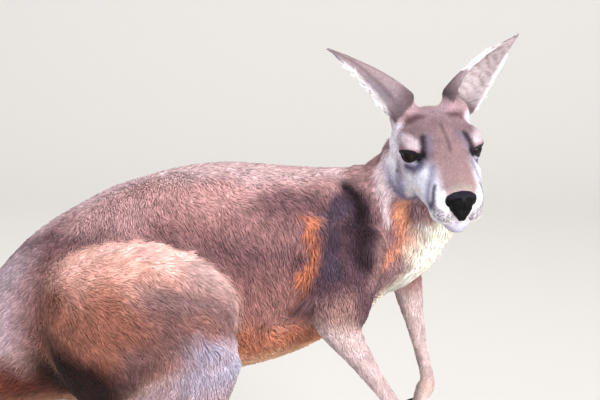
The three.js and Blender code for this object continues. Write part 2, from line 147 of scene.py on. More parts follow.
def edges_of(mesh):
    flat = np.empty(len(mesh.edges) * 2, dtype=np.int64)
    mesh.edges.foreach_get("vertices", flat)
    return flat.reshape(-1, 2)


def put_points(mesh, points):
    mesh.vertices.foreach_set("co", np.ascontiguousarray(points, dtype=np.float32).ravel())
    mesh.update()


def neighbours_mean(values, edges):
    n = len(values)
    count = np.bincount(edges.ravel(), minlength=n).clip(1)
    columns = values.reshape(n, -1).T
    total = [np.bincount(edges[:, 0], c[edges[:, 1]], n) + np.bincount(edges[:, 1], c[edges[:, 0]], n)
             for c in columns]
    return (np.array(total) / count).T.reshape(values.shape)


def relaxed(values, edges, rounds, strength=1.0):
    """Values moved towards their neighbours' mean, a half step each round."""
    strength = np.asarray(strength, float)
    if values.ndim > 1 and strength.ndim == 1:
        strength = strength[:, None]
    for _ in range(rounds):
        values = values + 0.5 * strength * (neighbours_mean(values, edges) - values)
    return values


def smoothstep(low, high, x):
    t = np.clip((x - low) / (high - low), 0, 1)
    return t * t * (3 - 2 * t)


def mixed(a, b, share):
    return a + (b - a) * np.asarray(share)[..., None]


# %% [markdown]
# ## Soft shapes for marks
# A mark on an animal is a soft blob, or a soft stroke along a line. Both are measured as a distance in
# millimetres, and fade from one inside to nothing outside.

# %% Blobs and strokes
PAST_THE_EDGE = 0.3  # how far a mark fades past its edge, as a share of its softness


def faded(distance, soft):
    """1 near the middle of a mark, and 0 past its edge at a distance of 1. Soft is the share that fades."""
    return 1 - smoothstep(1 - soft, 1 + soft * PAST_THE_EDGE, distance)


def blob(points, middle, radii, soft=0.5):
    """A soft ellipsoid."""
    distance = np.linalg.norm((points - np.asarray(middle, float)) / np.asarray(radii, float), axis=1)
    return faded(distance, soft)


def along_line(points, line):
    """The distance to a line through marks, and how far along it the nearest place is, from 0 to 1."""
    line = np.asarray(line, float)
    best = np.full(len(points), 1e9)
    share = np.zeros(len(points))
    lengths = np.linalg.norm(np.diff(line, axis=0), axis=1)
    starts = np.concatenate([[0], np.cumsum(lengths)])
    for i, (a, b) in enumerate(zip(line[:-1], line[1:])):
        t = np.clip((points - a) @ (b - a) / max(lengths[i] ** 2, 1e-9), 0, 1)
        distance = np.linalg.norm(points - (a + t[:, None] * (b - a)), axis=1)
        nearer = distance < best
        best[nearer] = distance[nearer]
        share[nearer] = (starts[i] + t[nearer] * lengths[i]) / starts[-1]
    return best, share


def stroke(points, line, width, soft=0.5):
    """A soft band along a line. Its width is one number, or one for each end."""
    distance, share = along_line(points, line)
    first, last = np.broadcast_to(np.asarray(width, float), (2,))
    return faded(distance / (first + (last - first) * share), soft)


def value_noise(points, size, seed=0):
    """Smooth random values from 0 to 1, whose bumps are about one size apart."""
    place = points / size + seed * 17.31
    cell = np.floor(place).astype(np.int64)
    f = place - cell
    f = f * f * (3 - 2 * f)

    def hashed(offset):
        c = cell + offset
        h = (c[:, 0] * 374761393 + c[:, 1] * 668265263 + c[:, 2] * 2147483647 + seed * 144665) & 0xFFFFFFFF
        h = ((h ^ (h >> 13)) * 1274126177) & 0xFFFFFFFF
        return ((h ^ (h >> 16)) & 0xFFFF) / 65535.0

    total = np.zeros(len(points))
    for dx in (0, 1):
        for dy in (0, 1):
            for dz in (0, 1):
                share = np.prod(np.where([dx, dy, dz], f, 1 - f), axis=1)
                total += share * hashed(np.array([dx, dy, dz]))
    return total


print("a stroke fades by its edge to", stroke(np.array([[1.0, 0, 0]]), [[0, 0, 0], [0, 0, 1]], 1)[0].round(2))

# %% [markdown]
# ## One skin over the flesh
# In life one skin covers the whole animal, so the solids' cuts must vanish. Copies of them are swollen by
# half a millimetre, which closes the cuts, and wrapped in one net by the voxel remesh. The body is wrapped
# coarsely and relaxed for long, because its muscles are large and soft. The head, ears and paws are
# wrapped finely and relaxed a little. Then both are wrapped together, so that no seam is left.

# %% Wrapping solids in a net
BROAD_NET, FINE_NET, WHOLE_NET, PAD_NET = 0.005, 0.0019, 0.0022, 0.0009  # the nets' mesh sizes, in metres


def merged_copy(name, swell=0.0):
    work = bmesh.new()
    work.from_mesh(solids[name].data)
    bmesh.ops.remove_doubles(work, verts=work.verts, dist=1e-5)
    work.normal_update()
    for vert in work.verts:
        vert.co += vert.normal * swell
    return work


def new_object(name, mesh):
    made = bpy.data.objects.new(name, mesh)
    bpy.context.scene.collection.objects.link(made)
    return made


def gathered(name, works):
    whole = bmesh.new()
    for work in works:
        part = bpy.data.meshes.new("part")
        work.to_mesh(part)
        work.free()
        whole.from_mesh(part)
        bpy.data.meshes.remove(part)
    mesh = bpy.data.meshes.new(name)
    whole.to_mesh(mesh)
    whole.free()
    return new_object(name, mesh)


def applied(thing):
    depsgraph = bpy.context.evaluated_depsgraph_get()
    mesh = bpy.data.meshes.new_from_object(thing.evaluated_get(depsgraph))
    thing.modifiers.clear()
    old, thing.data = thing.data, mesh
    bpy.data.meshes.remove(old)
    return thing


def wrapped(thing, voxel):
    net = thing.modifiers.new("net", "REMESH")
    net.mode = "VOXEL"
    net.voxel_size = voxel
    return applied(thing)


flesh = sorted(n for n in solids if not n.startswith(("eye", "claw", "nose")))
fine_flesh = [n for n in flesh if n.startswith(("head", "ear", "hand", "toe"))]
broad_flesh = [n for n in flesh if n not in fine_flesh]
print("broad:", len(broad_flesh), "fine:", len(fine_flesh))

# %% Which solid each point of the skin belongs to
all_triangles = []
triangle_owner = []
all_corners = []
for name in flesh + ["eye_left", "eye_right", "nose"]:
    index = flesh.index(name if name in flesh else "head")  # eyes and nose fill their hollows in the head
    work = merged_copy(name)
    first = len(all_corners)
    all_corners.extend(v.co.copy() for v in work.verts)
    for face in work.faces:
        all_triangles.append([first + v.index for v in face.verts])
        triangle_owner.append(index)
    work.free()
solid_surface = BVHTree.FromPolygons(all_corners, all_triangles)


def owners_of(points):
    """For each point, the number of the nearest flesh solid, and how deep under its surface it lies."""
    owner = np.zeros(len(points), dtype=np.int64)
    depth = np.zeros(len(points))
    for i, point in enumerate(points):
        place, normal, face, _ = solid_surface.find_nearest(Vector(point))
        owner[i] = triangle_owner[face]
        depth[i] = (place - Vector(point)).dot(normal)
    return owner, depth


def per_solid(table, default=0.0):
    """One value for each flesh solid, from a table keyed by the start of its name."""
    values = np.full(len(flesh), float(default))
    for i, name in enumerate(flesh):
        for start, value in table.items():
            if name.startswith(start):
                values[i] = value
    return values


print(len(all_triangles), "triangles of flesh")

# %% The broad body and the fine ends
SWELL = 0.6 * MM
EAR_SWELL = 1.3 * MM  # thin leaves need more, or the net loses them
BROAD_SOFTNESS = per_solid({"chest": 1, "loins": 1, "neck": 0.8, "thigh": 0.9, "tail_base": 0.7,
                            "tail_middle": 0.4, "tail_tip": 0.07, "upper_arm": 0.45, "forearm": 0.08,
                            "shank": 0.3, "foot": 0.08})
FINE_SOFTNESS = per_solid({"head": 1.0, "ear": 0.25, "hand": 0.06, "toe": 0.1})
BEHIND_THIGH = [(-318, -105, 420), (-335, -105, 360), (-330, -105, 300), (-300, -105, 250)]


def behind_thighs(places):
    """Where each thigh's back edge melts into the rump, with no step between them."""
    return stroke(as_on_the_right(on_body(places)), BEHIND_THIGH, 46, 0.8)


broad = wrapped(gathered("broad", [merged_copy(n, SWELL) for n in broad_flesh]), BROAD_NET)
owner, _ = owners_of(points_of(broad.data))
edges = edges_of(broad.data)
softness = relaxed(BROAD_SOFTNESS[owner], edges, 6)
put_points(broad.data, relaxed(points_of(broad.data), edges, 60, softness))
put_points(broad.data, relaxed(points_of(broad.data), edges, 90, behind_thighs(points_of(broad.data))))

fillers = [merged_copy(n, 0.3 * MM) for n in ("eye_left", "eye_right", "nose")]
fine_works = [merged_copy(n, EAR_SWELL if n.startswith("ear") else SWELL) for n in fine_flesh]
fine = wrapped(gathered("fine", fine_works + fillers), FINE_NET)
owner, _ = owners_of(points_of(fine.data))
edges = edges_of(fine.data)
softness = relaxed(FINE_SOFTNESS[owner], edges, 4)
put_points(fine.data, relaxed(points_of(fine.data), edges, 80, softness))
print("broad net", len(broad.data.vertices), "fine net", len(fine.data.vertices))

# %% One net for both
def to_work(thing):
    work = bmesh.new()
    work.from_mesh(thing.data)
    bpy.data.objects.remove(thing)
    return work


def numbered(starts):
    """The numbers of the flesh solids whose names start with these words."""
    return [i for i, name in enumerate(flesh) if name.startswith(starts)]


skin = wrapped(gathered("skin", [to_work(broad), to_work(fine)]), WHOLE_NET)
edges = edges_of(skin.data)
owner, _ = owners_of(points_of(skin.data))
on_ears = relaxed(np.isin(owner, numbered("ear")).astype(float), edges, 3)
put_points(skin.data, relaxed(points_of(skin.data), edges, 26, 0.2 + 0.8 * on_ears))
print("whole net", len(skin.data.vertices))

fineness = skin.vertex_groups.new(name="coarse")
head_places = on_head(points_of(skin.data))
far_from_face = smoothstep(90, 170, np.linalg.norm(head_places - [10, 0, 0], axis=1))
for level in range(1, 11):
    chosen = np.nonzero(np.round(far_from_face * 10) == level)[0]
    fineness.add(chosen.tolist(), level / 10, "REPLACE")
thinner = skin.modifiers.new("thinner", "DECIMATE")
thinner.vertex_group = "coarse"
thinner.ratio = 0.2
thinner.use_collapse_triangulate = True
applied(skin)
print("thinned net", len(skin.data.polygons))

# %% [markdown]
# ## As deep as the coat
# The solids are true to the tips of the hair, so the skin must lie inside them by the depth of the coat:
# deepest on the trunk, thin on the shins, and almost nothing on ears, paws and soles. The wanted depth is
# blurred over the net first, so the skin never steps where one solid ends and the next begins.

# %% Sinking the skin
COAT_DEPTH = per_solid({"chest": 4.5, "loins": 4.5, "neck": 4, "thigh": 4.5, "tail_base": 4,
                        "upper_arm": 3.5, "tail_middle": 3.5, "shank": 3, "tail_tip": 2.5, "head": 1.8,
                        "forearm": 2, "foot": 1.6, "hand": 1.2, "toe": 1, "ear": 0.2}) * MM
TIGHT_FOLDS = [[(-330, -78, 330), (-328, -79, 300)], [(104, -70, 385), (60, -78, 352)]]  # thigh, armpit

edges = edges_of(skin.data)
for rounds, share in ((40, 1.0), (12, 0.8)):
    skin_points = points_of(skin.data)
    owner, depth = owners_of(skin_points)
    wanted = COAT_DEPTH[owner]
    muzzle = smoothstep(45, 75, on_head(skin_points)[:, 0])
    is_head = owner == flesh.index("head")
    wanted = np.where(is_head, wanted * (1 - 0.4 * muzzle), wanted)
    wanted = relaxed(wanted, edges, 25) * (0.1 + 0.9 * smoothstep(0.002, 0.035, skin_points[:, 2]))
    sink = relaxed(wanted - depth, edges, rounds) * (1 - 0.8 * behind_thighs(skin_points))
    put_points(skin.data, skin_points - normals_of(skin.data) * sink[:, None] * share)
put_points(skin.data, relaxed(points_of(skin.data), edges, 10, relaxed(BROAD_SOFTNESS[owner], edges, 8)))
near_side = as_on_the_right(on_body(points_of(skin.data)))
tight = np.max([stroke(near_side, fold, 26, 0.6) for fold in TIGHT_FOLDS], axis=0)
put_points(skin.data, relaxed(points_of(skin.data), edges, 40, tight))
owner, depth = owners_of(points_of(skin.data))
print("depth under the solids, mm:", (np.percentile(depth, [1, 50, 99]) / MM).round(1))

# %% [markdown]
# ## Lids, mouth and creases
# A kangaroo's eye is a dark wet ball behind two thick lids. The upper lid runs nearly straight, so the
# look is calm and a little hooded, and the inner corner runs out into a dark tear groove. The skin near
# each eye is made fine, then laid on a slightly larger ball, with an almond opening whose edge dives
# behind the eye. The mouth is a groove that starts under the nose and runs back along the lip. Where the
# nose pad will sit, the skin is pressed in.

# %% Finer skin on the face
EYE_BALL = 15.5
EYE_LINE = np.array([0.62, 0.78, -0.07])  # where the left eye looks, on the head ruler
EYE_TILT = 0.12  # the inner corner lies a little higher than the outer corner
EYE_HALF = 13.5  # half the opening's width, along the ball
MOUTH_LINE = [[99, 0, -47], [97, 8, -50], [88, 16, -49], [74, 22, -46], [58, 26, -43], [44, 29, -41]]
SIDES = {"left": 1.0, "right": -1.0}


def mirrored(marks, sign):
    return np.asarray(marks, float) * [1, sign, 1]


def refine(work, wanted):
    bmesh.ops.triangulate(work, faces=work.faces)
    work.verts.index_update()
    places = on_head(np.array([v.co for v in work.verts]))
    chosen = wanted(places)
    cut = [e for e in work.edges if chosen[e.verts[0].index] and chosen[e.verts[1].index]]
    bmesh.ops.subdivide_edges(work, edges=cut, cuts=1, use_grid_fill=True, smooth=0.0)
    bmesh.ops.triangulate(work, faces=[f for f in work.faces if len(f.verts) > 3])


def from_eyes(places):
    middles = [mirrored([EYE_AHEAD, EYE_ASIDE, EYE_ABOVE], s) for s in SIDES.values()]
    return np.min([np.linalg.norm(places - middle, axis=1) for middle in middles], axis=0)


def from_mouth(places):
    return np.min([along_line(places, mirrored(MOUTH_LINE, s))[0] for s in SIDES.values()], axis=0)


work = bmesh.new()
work.from_mesh(skin.data)
refine(work, lambda places: (from_eyes(places) < 34) | (from_mouth(places) < 9))
refine(work, lambda places: (from_eyes(places) < 25) | (from_mouth(places) < 5))
bmesh.ops.dissolve_degenerate(work, edges=work.edges, dist=1e-6)
work.to_mesh(skin.data)
work.free()
edges = edges_of(skin.data)
head_places = on_head(points_of(skin.data))
face_zone = (from_eyes(head_places) < 32) | (from_mouth(head_places) < 8)
put_points(skin.data, relaxed(points_of(skin.data), edges, 6, face_zone.astype(float)))
print("skin with a fine face", len(skin.data.polygons))


# %% Eyelids
def eye_ruler(sign):
    """The eye's own axes on the head ruler: towards the nose, up, and out along its look."""
    out = unit(EYE_LINE * [1, sign, 1])
    nose_way = np.array([1.0, 0.0, EYE_TILT])
    nose_way = unit(nose_way - out * (nose_way @ out))
    up = np.cross(out, nose_way) * sign
    up = up if up[2] > 0 else -up
    return nose_way, up, out


def opening(across, above):
    """How far outside the almond opening a place on the ball lies, in millimetres. Below 0 is inside."""
    along = np.clip(across / EYE_HALF, -1, 1)
    curve = np.clip(1 - along ** 2, 0, 1)
    upper = 4.6 * curve ** 0.55 + 0.5 * along
    lower = 6.6 * curve ** 0.75
    inside = np.where(above > 0, above - upper, -above - lower)
    past_corner = np.maximum(np.abs(across) - EYE_HALF, 0)
    return np.hypot(np.maximum(inside, 0), past_corner) + np.minimum(np.where(past_corner > 0, 0, inside), 0)


def eye_places(places, sign):
    """Places as seen from one eye: across, above, how far they face out, distance, direction, middle."""
    middle = np.array([EYE_AHEAD, EYE_ASIDE * sign, EYE_ABOVE])
    nose_way, up, out = eye_ruler(sign)
    arm = places - middle
    distance = np.linalg.norm(arm, axis=1)
    turn = arm / distance[:, None]
    facing = turn @ out
    arc = np.arccos(np.clip(facing, -1, 1)) / np.sqrt(np.clip(1 - facing ** 2, 1e-9, 1))  # over the sine
    return turn @ nose_way * EYE_BALL * arc, turn @ up * EYE_BALL * arc, facing, distance, turn, middle


def lid_height(rim, above):
    """How far from the eye's middle the lids stand, thicker above, with a soft edge and one fold."""
    upper = smoothstep(-1.0, 2.0, above)
    fold = 0.7 * np.exp(-((rim - 5.5) / 1.2) ** 2) * upper
    fold = fold + 0.4 * np.exp(-((rim - 4.5) / 1.0) ** 2) * (1 - upper)
    edge = EYE_BALL + 0.9 + 0.7 * smoothstep(0.0, 1.2, rim)
    return edge + (0.6 + 1.8 * upper) * smoothstep(1.0, 5.0, rim) - fold


def kept_off_the_ball(places):
    """The skin never cuts into the eye: every place outside the opening stays out at the lid's height."""
    for sign in SIDES.values():
        across, above, facing, distance, turn, middle = eye_places(places, sign)
        rim = opening(across, above)
        short = np.maximum(lid_height(rim, above) - distance, 0) * (rim > 0.1)
        short = short * smoothstep(-0.35, 0.0, facing)
        places = places + turn * short[:, None]
    return places


head_places = on_head(points_of(skin.data))
HIDDEN = EYE_BALL * 0.84  # inside the opening the skin dives behind the front of the ball
SOCKET = 40  # how far from the eye's middle its lids reach
for sign in SIDES.values():
    across, above, facing, distance, turn, middle = eye_places(head_places, sign)
    rim = opening(across, above)
    lid = lid_height(rim, above)
    on_ball = np.where(rim < 0, HIDDEN + (lid - HIDDEN) * smoothstep(-1.0, 0.1, rim), lid)
    share = smoothstep(12.0, 4.0, rim) * smoothstep(0.0, 0.25, facing) * (distance < SOCKET)
    moved = middle + turn * (distance + (on_ball - distance) * share)[:, None]
    head_places = np.where((distance < SOCKET)[:, None], moved, head_places)
edges = edges_of(skin.data)
rims = np.full(len(head_places), 99.0)
for sign in SIDES.values():
    across, above, facing = eye_places(head_places, sign)[:3]
    rims = np.where(facing > -0.2, np.minimum(rims, opening(across, above)), rims)
melt = smoothstep(3.0, 7.0, rims) * (from_eyes(head_places) < SOCKET)
for _ in range(4):
    head_places = kept_off_the_ball(relaxed(head_places, edges, 5, melt))
put_points(skin.data, from_head(relaxed(head_places, edges, 2, 0.5 * melt)))

# %% The tear groove, the mouth and the bed of the nose pad
TEAR_GROOVE = [[22, 38, 10], [29, 34, 11], [36, 28, 11]]
MUZZLE_HOLLOW = [[60, 27, -12], [75, 25, -22], [70, 27, -34]]
BROW_FURROW = [[6, 0, 40], [20, -1, 34], [46, 0, 24]]
NOSE_BED = [[95, -15, -21], [100, 0, -22], [95, 15, -21]]
LIP_BED = [[100, 0, -24], [98, 0, -38]]


def pressed(places, line, width, depth, outward):
    """Places pushed in along a line. A negative depth raises a ridge."""
    distance, share = along_line(places, line)
    amount = depth * np.exp(-(distance / width) ** 2) * smoothstep(0, 0.08, share + 0.06)
    return places - outward * amount[:, None]


skin_points = points_of(skin.data)
out = normals_of(skin.data) @ head_axes.T
places = on_head(skin_points)
for sign in SIDES.values():
    places = pressed(places, mirrored(MOUTH_LINE, sign), 1.5, 2.6, out)
    places = pressed(places, mirrored(TEAR_GROOVE, sign), 2.2, 1.4, out)
    places = pressed(places, mirrored(MUZZLE_HOLLOW, sign), 6, 1.5, out)
places = pressed(places, BROW_FURROW, 2.0, 1.0, out)
places = pressed(places, NOSE_BED, 7.5, 6.5, out)
places = pressed(places, LIP_BED, 6.5, 4.5, out)
skin_points = from_head(places)
skin_points[:, 2] = np.maximum(skin_points[:, 2], 0.0003)  # the soles stay above the ground
put_points(skin.data, skin_points)
skin.data.shade_smooth()
print("skin runs from", skin_points.min(0).round(3), "to", skin_points.max(0).round(3))

# %% [markdown]
# ## Eyes, nose and claws
# These are bare, so they stay pieces of their own. Each eye is a smooth ball with the cornea standing a
# little proud. The nose is one leathery pad: a copy of the solid, wrapped and relaxed, with two comma
# nostrils bored into it and a groove down the middle. The claws are smoothed copies of their solids.

# %% Eyes
def put_in_place(piece, slot, *replaced):
    """A finished piece rides on the body instead of the solids it replaces. Its slot is not used."""
    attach(piece, "root")
    if replaced:
        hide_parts(*replaced)


CORNEA_REACH = 11.2  # from the eye's axis to where the cornea's bulge ends
CORNEA_PROUD = 0.055  # how far it stands out, as a share of the ball

eyes = {}
for side, sign in SIDES.items():
    work = bmesh.new()
    bmesh.ops.create_uvsphere(work, u_segments=64, v_segments=48, radius=EYE_BALL)
    nose_way, up, out = eye_ruler(sign)
    across_axis = np.cross(up, out)
    for vert in work.verts:
        x, y, z = vert.co
        proud = 1 + CORNEA_PROUD * float(smoothstep(CORNEA_REACH, 0, math.hypot(x, y))) * (z > 0)
        place = (across_axis * x + up * y + out * z) * proud + [EYE_AHEAD, EYE_ASIDE * sign, EYE_ABOVE]
        vert.co = Vector(from_head(place))
    bmesh.ops.recalc_face_normals(work, faces=work.faces)
    eyes[side] = gathered("eyeball_" + side, [work])
    eyes[side].data.shade_smooth()
    put_in_place(eyes[side], "eye_gloss", "eye_" + side)
print("eyes", [len(e.data.polygons) for e in eyes.values()])

# %% Claws
claws = []
for name in sorted(n for n in solids if n.startswith("claw")):
    claw = gathered("keratin_" + name, [merged_copy(name)])
    smoother = claw.modifiers.new("round", "SUBSURF")
    smoother.levels = smoother.render_levels = 2
    applied(claw)
    claw.data.shade_smooth()
    put_in_place(claw, "claw_horn", name)
    claws.append(claw)
print(len(claws), "claws")

# %% The nose pad
NOSTRIL_LINE = [[100.5, 4.6, -17.5], [100.0, 9.0, -18.5], [97.5, 13.5, -20.5], [96.5, 16.0, -25.0],
                [96.0, 13.5, -29.0]]
NOSTRIL_RIDGE = [[101, 3, -14], [98, 11, -13.5], [94, 18, -17]]
NOSE_GROOVE = [[104, 0, -20], [103, 0, -30], [100, 0, -44]]
TAPER_HALVES = (19.0, 15.0, 10.5, 5.5)  # the pad's half widths, from its middle down to its point


def swelling(middle_mark, radii):
    """An ellipsoid on the head ruler, to be wrapped in with other solids."""
    work = bmesh.new()
    bmesh.ops.create_icosphere(work, subdivisions=3, radius=1)
    for vert in work.verts:
        vert.co = Vector(from_head(np.array(vert.co) * radii + middle_mark))
    return work


taper = [swelling([95.5 + 0.8 * i - 0.10 * half, y * half * 0.45, -25 - 5.6 * i], [7.5, half * 0.62, 7])
         for i, half in enumerate(TAPER_HALVES) for y in (-1, 1)]
pad = wrapped(gathered("nose_pad", [merged_copy("nose", 0.2 * MM)] + taper), PAD_NET)
edges = edges_of(pad.data)
put_points(pad.data, relaxed(points_of(pad.data), edges, 24))
places = on_head(points_of(pad.data))
out = normals_of(pad.data) @ head_axes.T
for sign in SIDES.values():
    places = pressed(places, mirrored(NOSTRIL_LINE, sign), 2.6, 6.5, out)
    places = pressed(places, mirrored(NOSTRIL_RIDGE, sign), 2.0, -0.9, out)
places = pressed(places, NOSE_GROOVE, 1.1, 1.4, out)
put_points(pad.data, from_head(relaxed(places, edges, 2)))
pad.data.shade_smooth()
put_in_place(pad, "nose_leather", "nose")
put_in_place(skin, "fur", *flesh)
print("nose pad", len(pad.data.polygons))

# %% [markdown]
# ## Markings
# The coat is warm mauve-grey above, with a rusty woolly patch behind the shoulder, pale limbs, and a
# cream throat and belly. Light and shade are painted in as well: a painted highlight along the top of
# the back, the tops of the thighs, the ear backs and the rear edge of the rump, and painted shade over
# darker fur low on the thighs and in the fold behind them, across the thighs above the knees, at the
# ears' roots and in the brow furrow. The face is pale and bluish, with a rosy bridge, white muzzle and
# cheeks, and dark marks at the eyes and mouth corners. The colours are named once, and laid with soft
# blobs and strokes on the rulers. Both sides of the body get the same marks.

# %% Palette
PALETTE = {
    "spine": (206, 174, 176), "back": (196, 152, 150), "upper_flank": (154, 113, 112),
    "flank": (106, 75, 80), "low_flank": (148, 104, 99), "belly_edge": (174, 108, 82),
    "belly": (206, 158, 128), "wool": (178, 108, 78), "behind": (102, 72, 80), "shoulder": (33, 17, 25),
    "shoulder_blue": (72, 58, 74), "upper_arm": (82, 58, 69), "elbow": (158, 120, 115),
    "forearm": (198, 176, 177), "paw": (204, 182, 180), "neck": (142, 108, 113),
    "neck_pale": (224, 204, 209), "throat": (196, 132, 110), "throat_lit": (240, 166, 128),
    "cream": (255, 248, 230), "thigh_pale": (224, 172, 164), "thigh_orange": (210, 160, 148),
    "thigh": (142, 92, 78), "thigh_low": (108, 60, 46), "thigh_dark": (33, 9, 6),
    "thigh_grey": (106, 82, 87), "thigh_front": (183, 153, 153), "knee": (172, 168, 192),
    "shank": (166, 140, 146), "foot": (176, 150, 140), "foot_dark": (90, 72, 68), "rump": (148, 106, 106),
    "rump_speckle": (190, 150, 151), "rump_edge": (206, 184, 194), "rump_low": (98, 41, 33),
    "tail": (160, 124, 118), "tail_under": (134, 92, 76), "tail_tip": (160, 130, 124),
    "forehead": (136, 110, 116), "crown": (174, 144, 151), "crown_dark": (92, 60, 66),
    "bridge": (148, 120, 122), "cheek": (234, 233, 250), "cheek_low": (190, 184, 204),
    "jaw": (122, 116, 138), "side_head": (232, 226, 236), "brow": (196, 178, 186),
    "white": (222, 217, 221), "chin": (170, 166, 184), "dark": (20, 13, 20), "eye_shade": (78, 68, 98),
    "nose_fur": (150, 138, 132), "crease": (96, 74, 82), "ear_back": (124, 113, 121),
    "ear_rim": (246, 238, 240), "ear_inside": (160, 148, 153), "ear_rib": (112, 84, 80),
    "ear_shade": (76, 50, 56),
}


def linear(rgb):
    value = np.asarray(rgb, float) / 255
    return np.where(value <= 0.04045, value / 12.92, ((value + 0.055) / 1.055) ** 2.4)


INK = {name: linear(rgb) for name, rgb in PALETTE.items()}


def by_height(z, stops):
    """A colour for each height, from pairs of height and colour name, lowest first."""
    heights = [s[0] for s in stops]
    inks = np.array([INK[s[1]] for s in stops])
    return np.stack([np.interp(z, heights, inks[:, c]) for c in range(3)], axis=1)


class Paint:
    """The colours of the skin's points, changed mark by mark. Lines are brought down onto the skin."""

    def __init__(self, colours, places):
        self.colours = colours
        self.places = places

    def mark(self, ink, strength):
        self.colours = mixed(self.colours, INK[ink], np.clip(strength, 0, 1))

    def onto_skin(self, spot):
        return self.places[np.argmin(np.linalg.norm(self.places - np.asarray(spot, float), axis=1))]

    def blob(self, ink, strength, middle, radii, soft, within=1.0):
        self.mark(ink, strength * within * blob(self.places, middle, radii, soft))

    def stroke(self, ink, strength, line, width, soft, within=1.0):
        line = [self.onto_skin(spot) for spot in line]
        self.mark(ink, strength * within * stroke(self.places, line, width, soft))

    def strokes(self, table, within=1.0):
        for row in table:
            self.stroke(*row, within)


# %% Strokes on the body
# each row: ink, strength, a line on the ruler, its width in millimetres or one for each end, softness
WOOL_LINE = [(22, -74, 474), (16, -80, 462), (11, -90, 438), (16, -93, 413), (26, -98, 388)]
TRUNK_STROKES = [
    ("rump_low", 0.95, [(-400, -50, 250), (-345, -60, 250), (-280, -80, 240)], 55, 0.8),
    # darker fur with painted shade in the fold behind the thigh
    ("thigh_low", 0.5, [(-330, -76, 325), (-320, -79, 299)], 34, 0.9),
    # a painted highlight along the rear edge of the rump
    ("rump_edge", 0.8, [(-376, -40, 410), (-380, -50, 360), (-376, -60, 315)], 52, 1.0),
    # dark fur with painted shadow between the thigh and the rump
    ("thigh_dark", 1.0, [(-307, -76, 285), (-290, -80, 270)], 36, 0.9),
    ("behind", 0.8, [(-40, -66, 500), (0, -66, 490), (30, -66, 485), (38, -80, 455)], 34, 0.9),
    # a painted highlight where light catches the top of the back
    ("spine", 0.85, [(-330, 0, 470), (-230, 0, 515), (-129, -2, 534), (-65, -2, 538), (27, -8, 532),
                     (60, -12, 520)], (30, 20), 0.8),
    ("belly_edge", 0.6, [(-65, -106, 330), (-10, -90, 316), (40, -80, 320)], 20, 0.9),
    ("wool", 1.0, WOOL_LINE, (9, 12), 0.5),
]
THIGH_STROKES = [
    ("thigh_front", 0.9, [(-66, -113, 360), (-84, -130, 395), (-125, -140, 428)], 30, 0.9),
    # the next two rows are painted shadow on the thigh, the first above the knee
    ("thigh_grey", 0.85, [(-180, -165, 392), (-140, -170, 388), (-96, -150, 366)], 38, 1),
    ("thigh_grey", 0.7, [(-165, -178, 350), (-200, -172, 310), (-205, -165, 280)], 34, 1),
    ("thigh", 0.7, [(-250, -170, 388), (-200, -180, 366)], 36, 0.8),
    # dark fur with painted shadow on the lower back part of the thigh
    ("thigh_dark", 1.0, [(-318, -140, 312), (-285, -150, 300), (-250, -150, 276)], 46, 0.8),
    # a painted highlight along the top of the thigh
    ("thigh_pale", 0.6, [(-304, -130, 404), (-268, -130, 436)], 16, 0.9),
]
SHOULDER_STROKES = [
    ("upper_arm", 1.0, [(74, -46, 495), (70, -68, 470), (66, -96, 430), (66, -104, 400)], 34, 0.8),
    ("elbow", 0.55, [(111, -70, 468), (108, -74, 452), (104, -87, 438), (101, -93, 414), (96, -98, 396)],
     15, 0.9),
    ("shoulder", 1.0, [(76, -36, 510), (78, -46, 495), (80, -62, 474), (82, -84, 448), (82, -98, 425)],
     (20, 14), 0.8),
    ("shoulder_blue", 0.9, [(56, -50, 496), (50, -74, 466), (44, -96, 424)], 14, 0.7),
    ("behind", 0.6, [(58, -100, 440), (64, -104, 412)], 8, 0.9),
]
THROAT_STROKES = [
    ("throat", 1.0, [(128, -58, 498), (140, -62, 472), (138, -66, 446), (120, -76, 414)], (18, 15), 0.8),
    ("throat_lit", 0.9, [(137, -66, 497), (143, -69, 487), (148, -68, 478)], (12, 10), 0.9),
    ("white", 1.0, [(153, -62, 504), (158, -61, 490), (166, -60, 475), (172, -56, 464)], (9, 12), 0.7),
]
CHEST_LINE = [(172, -30, 446), (170, -25, 410), (150, -15, 370), (120, 0, 330)]
# colours by height on the trunk; the highest is a painted highlight along the top of the back
BODY_BY_HEIGHT = [(270, "belly"), (296, "belly"), (312, "belly_edge"), (330, "belly_edge"),
                  (362, "low_flank"), (440, "flank"), (482, "upper_flank"), (512, "back"), (530, "spine")]
# colours by height on the thigh: darker fur with painted shade towards the underside, a painted highlight at
# the top
THIGH_BY_HEIGHT = [(225, "thigh_dark"), (262, "thigh_low"), (305, "thigh"), (350, "thigh"),
                   (384, "thigh_orange"), (408, "thigh_orange"), (420, "thigh_pale")]
TAIL_BY_HEIGHT = [(-45, "tail_under"), (-15, "tail_under"), (25, "tail"), (60, "tail")]
TAIL_MIDDLE = [(-1110, 22), (-862, 28), (-520, 130), (-380, 330)]  # its place ahead, and its height there


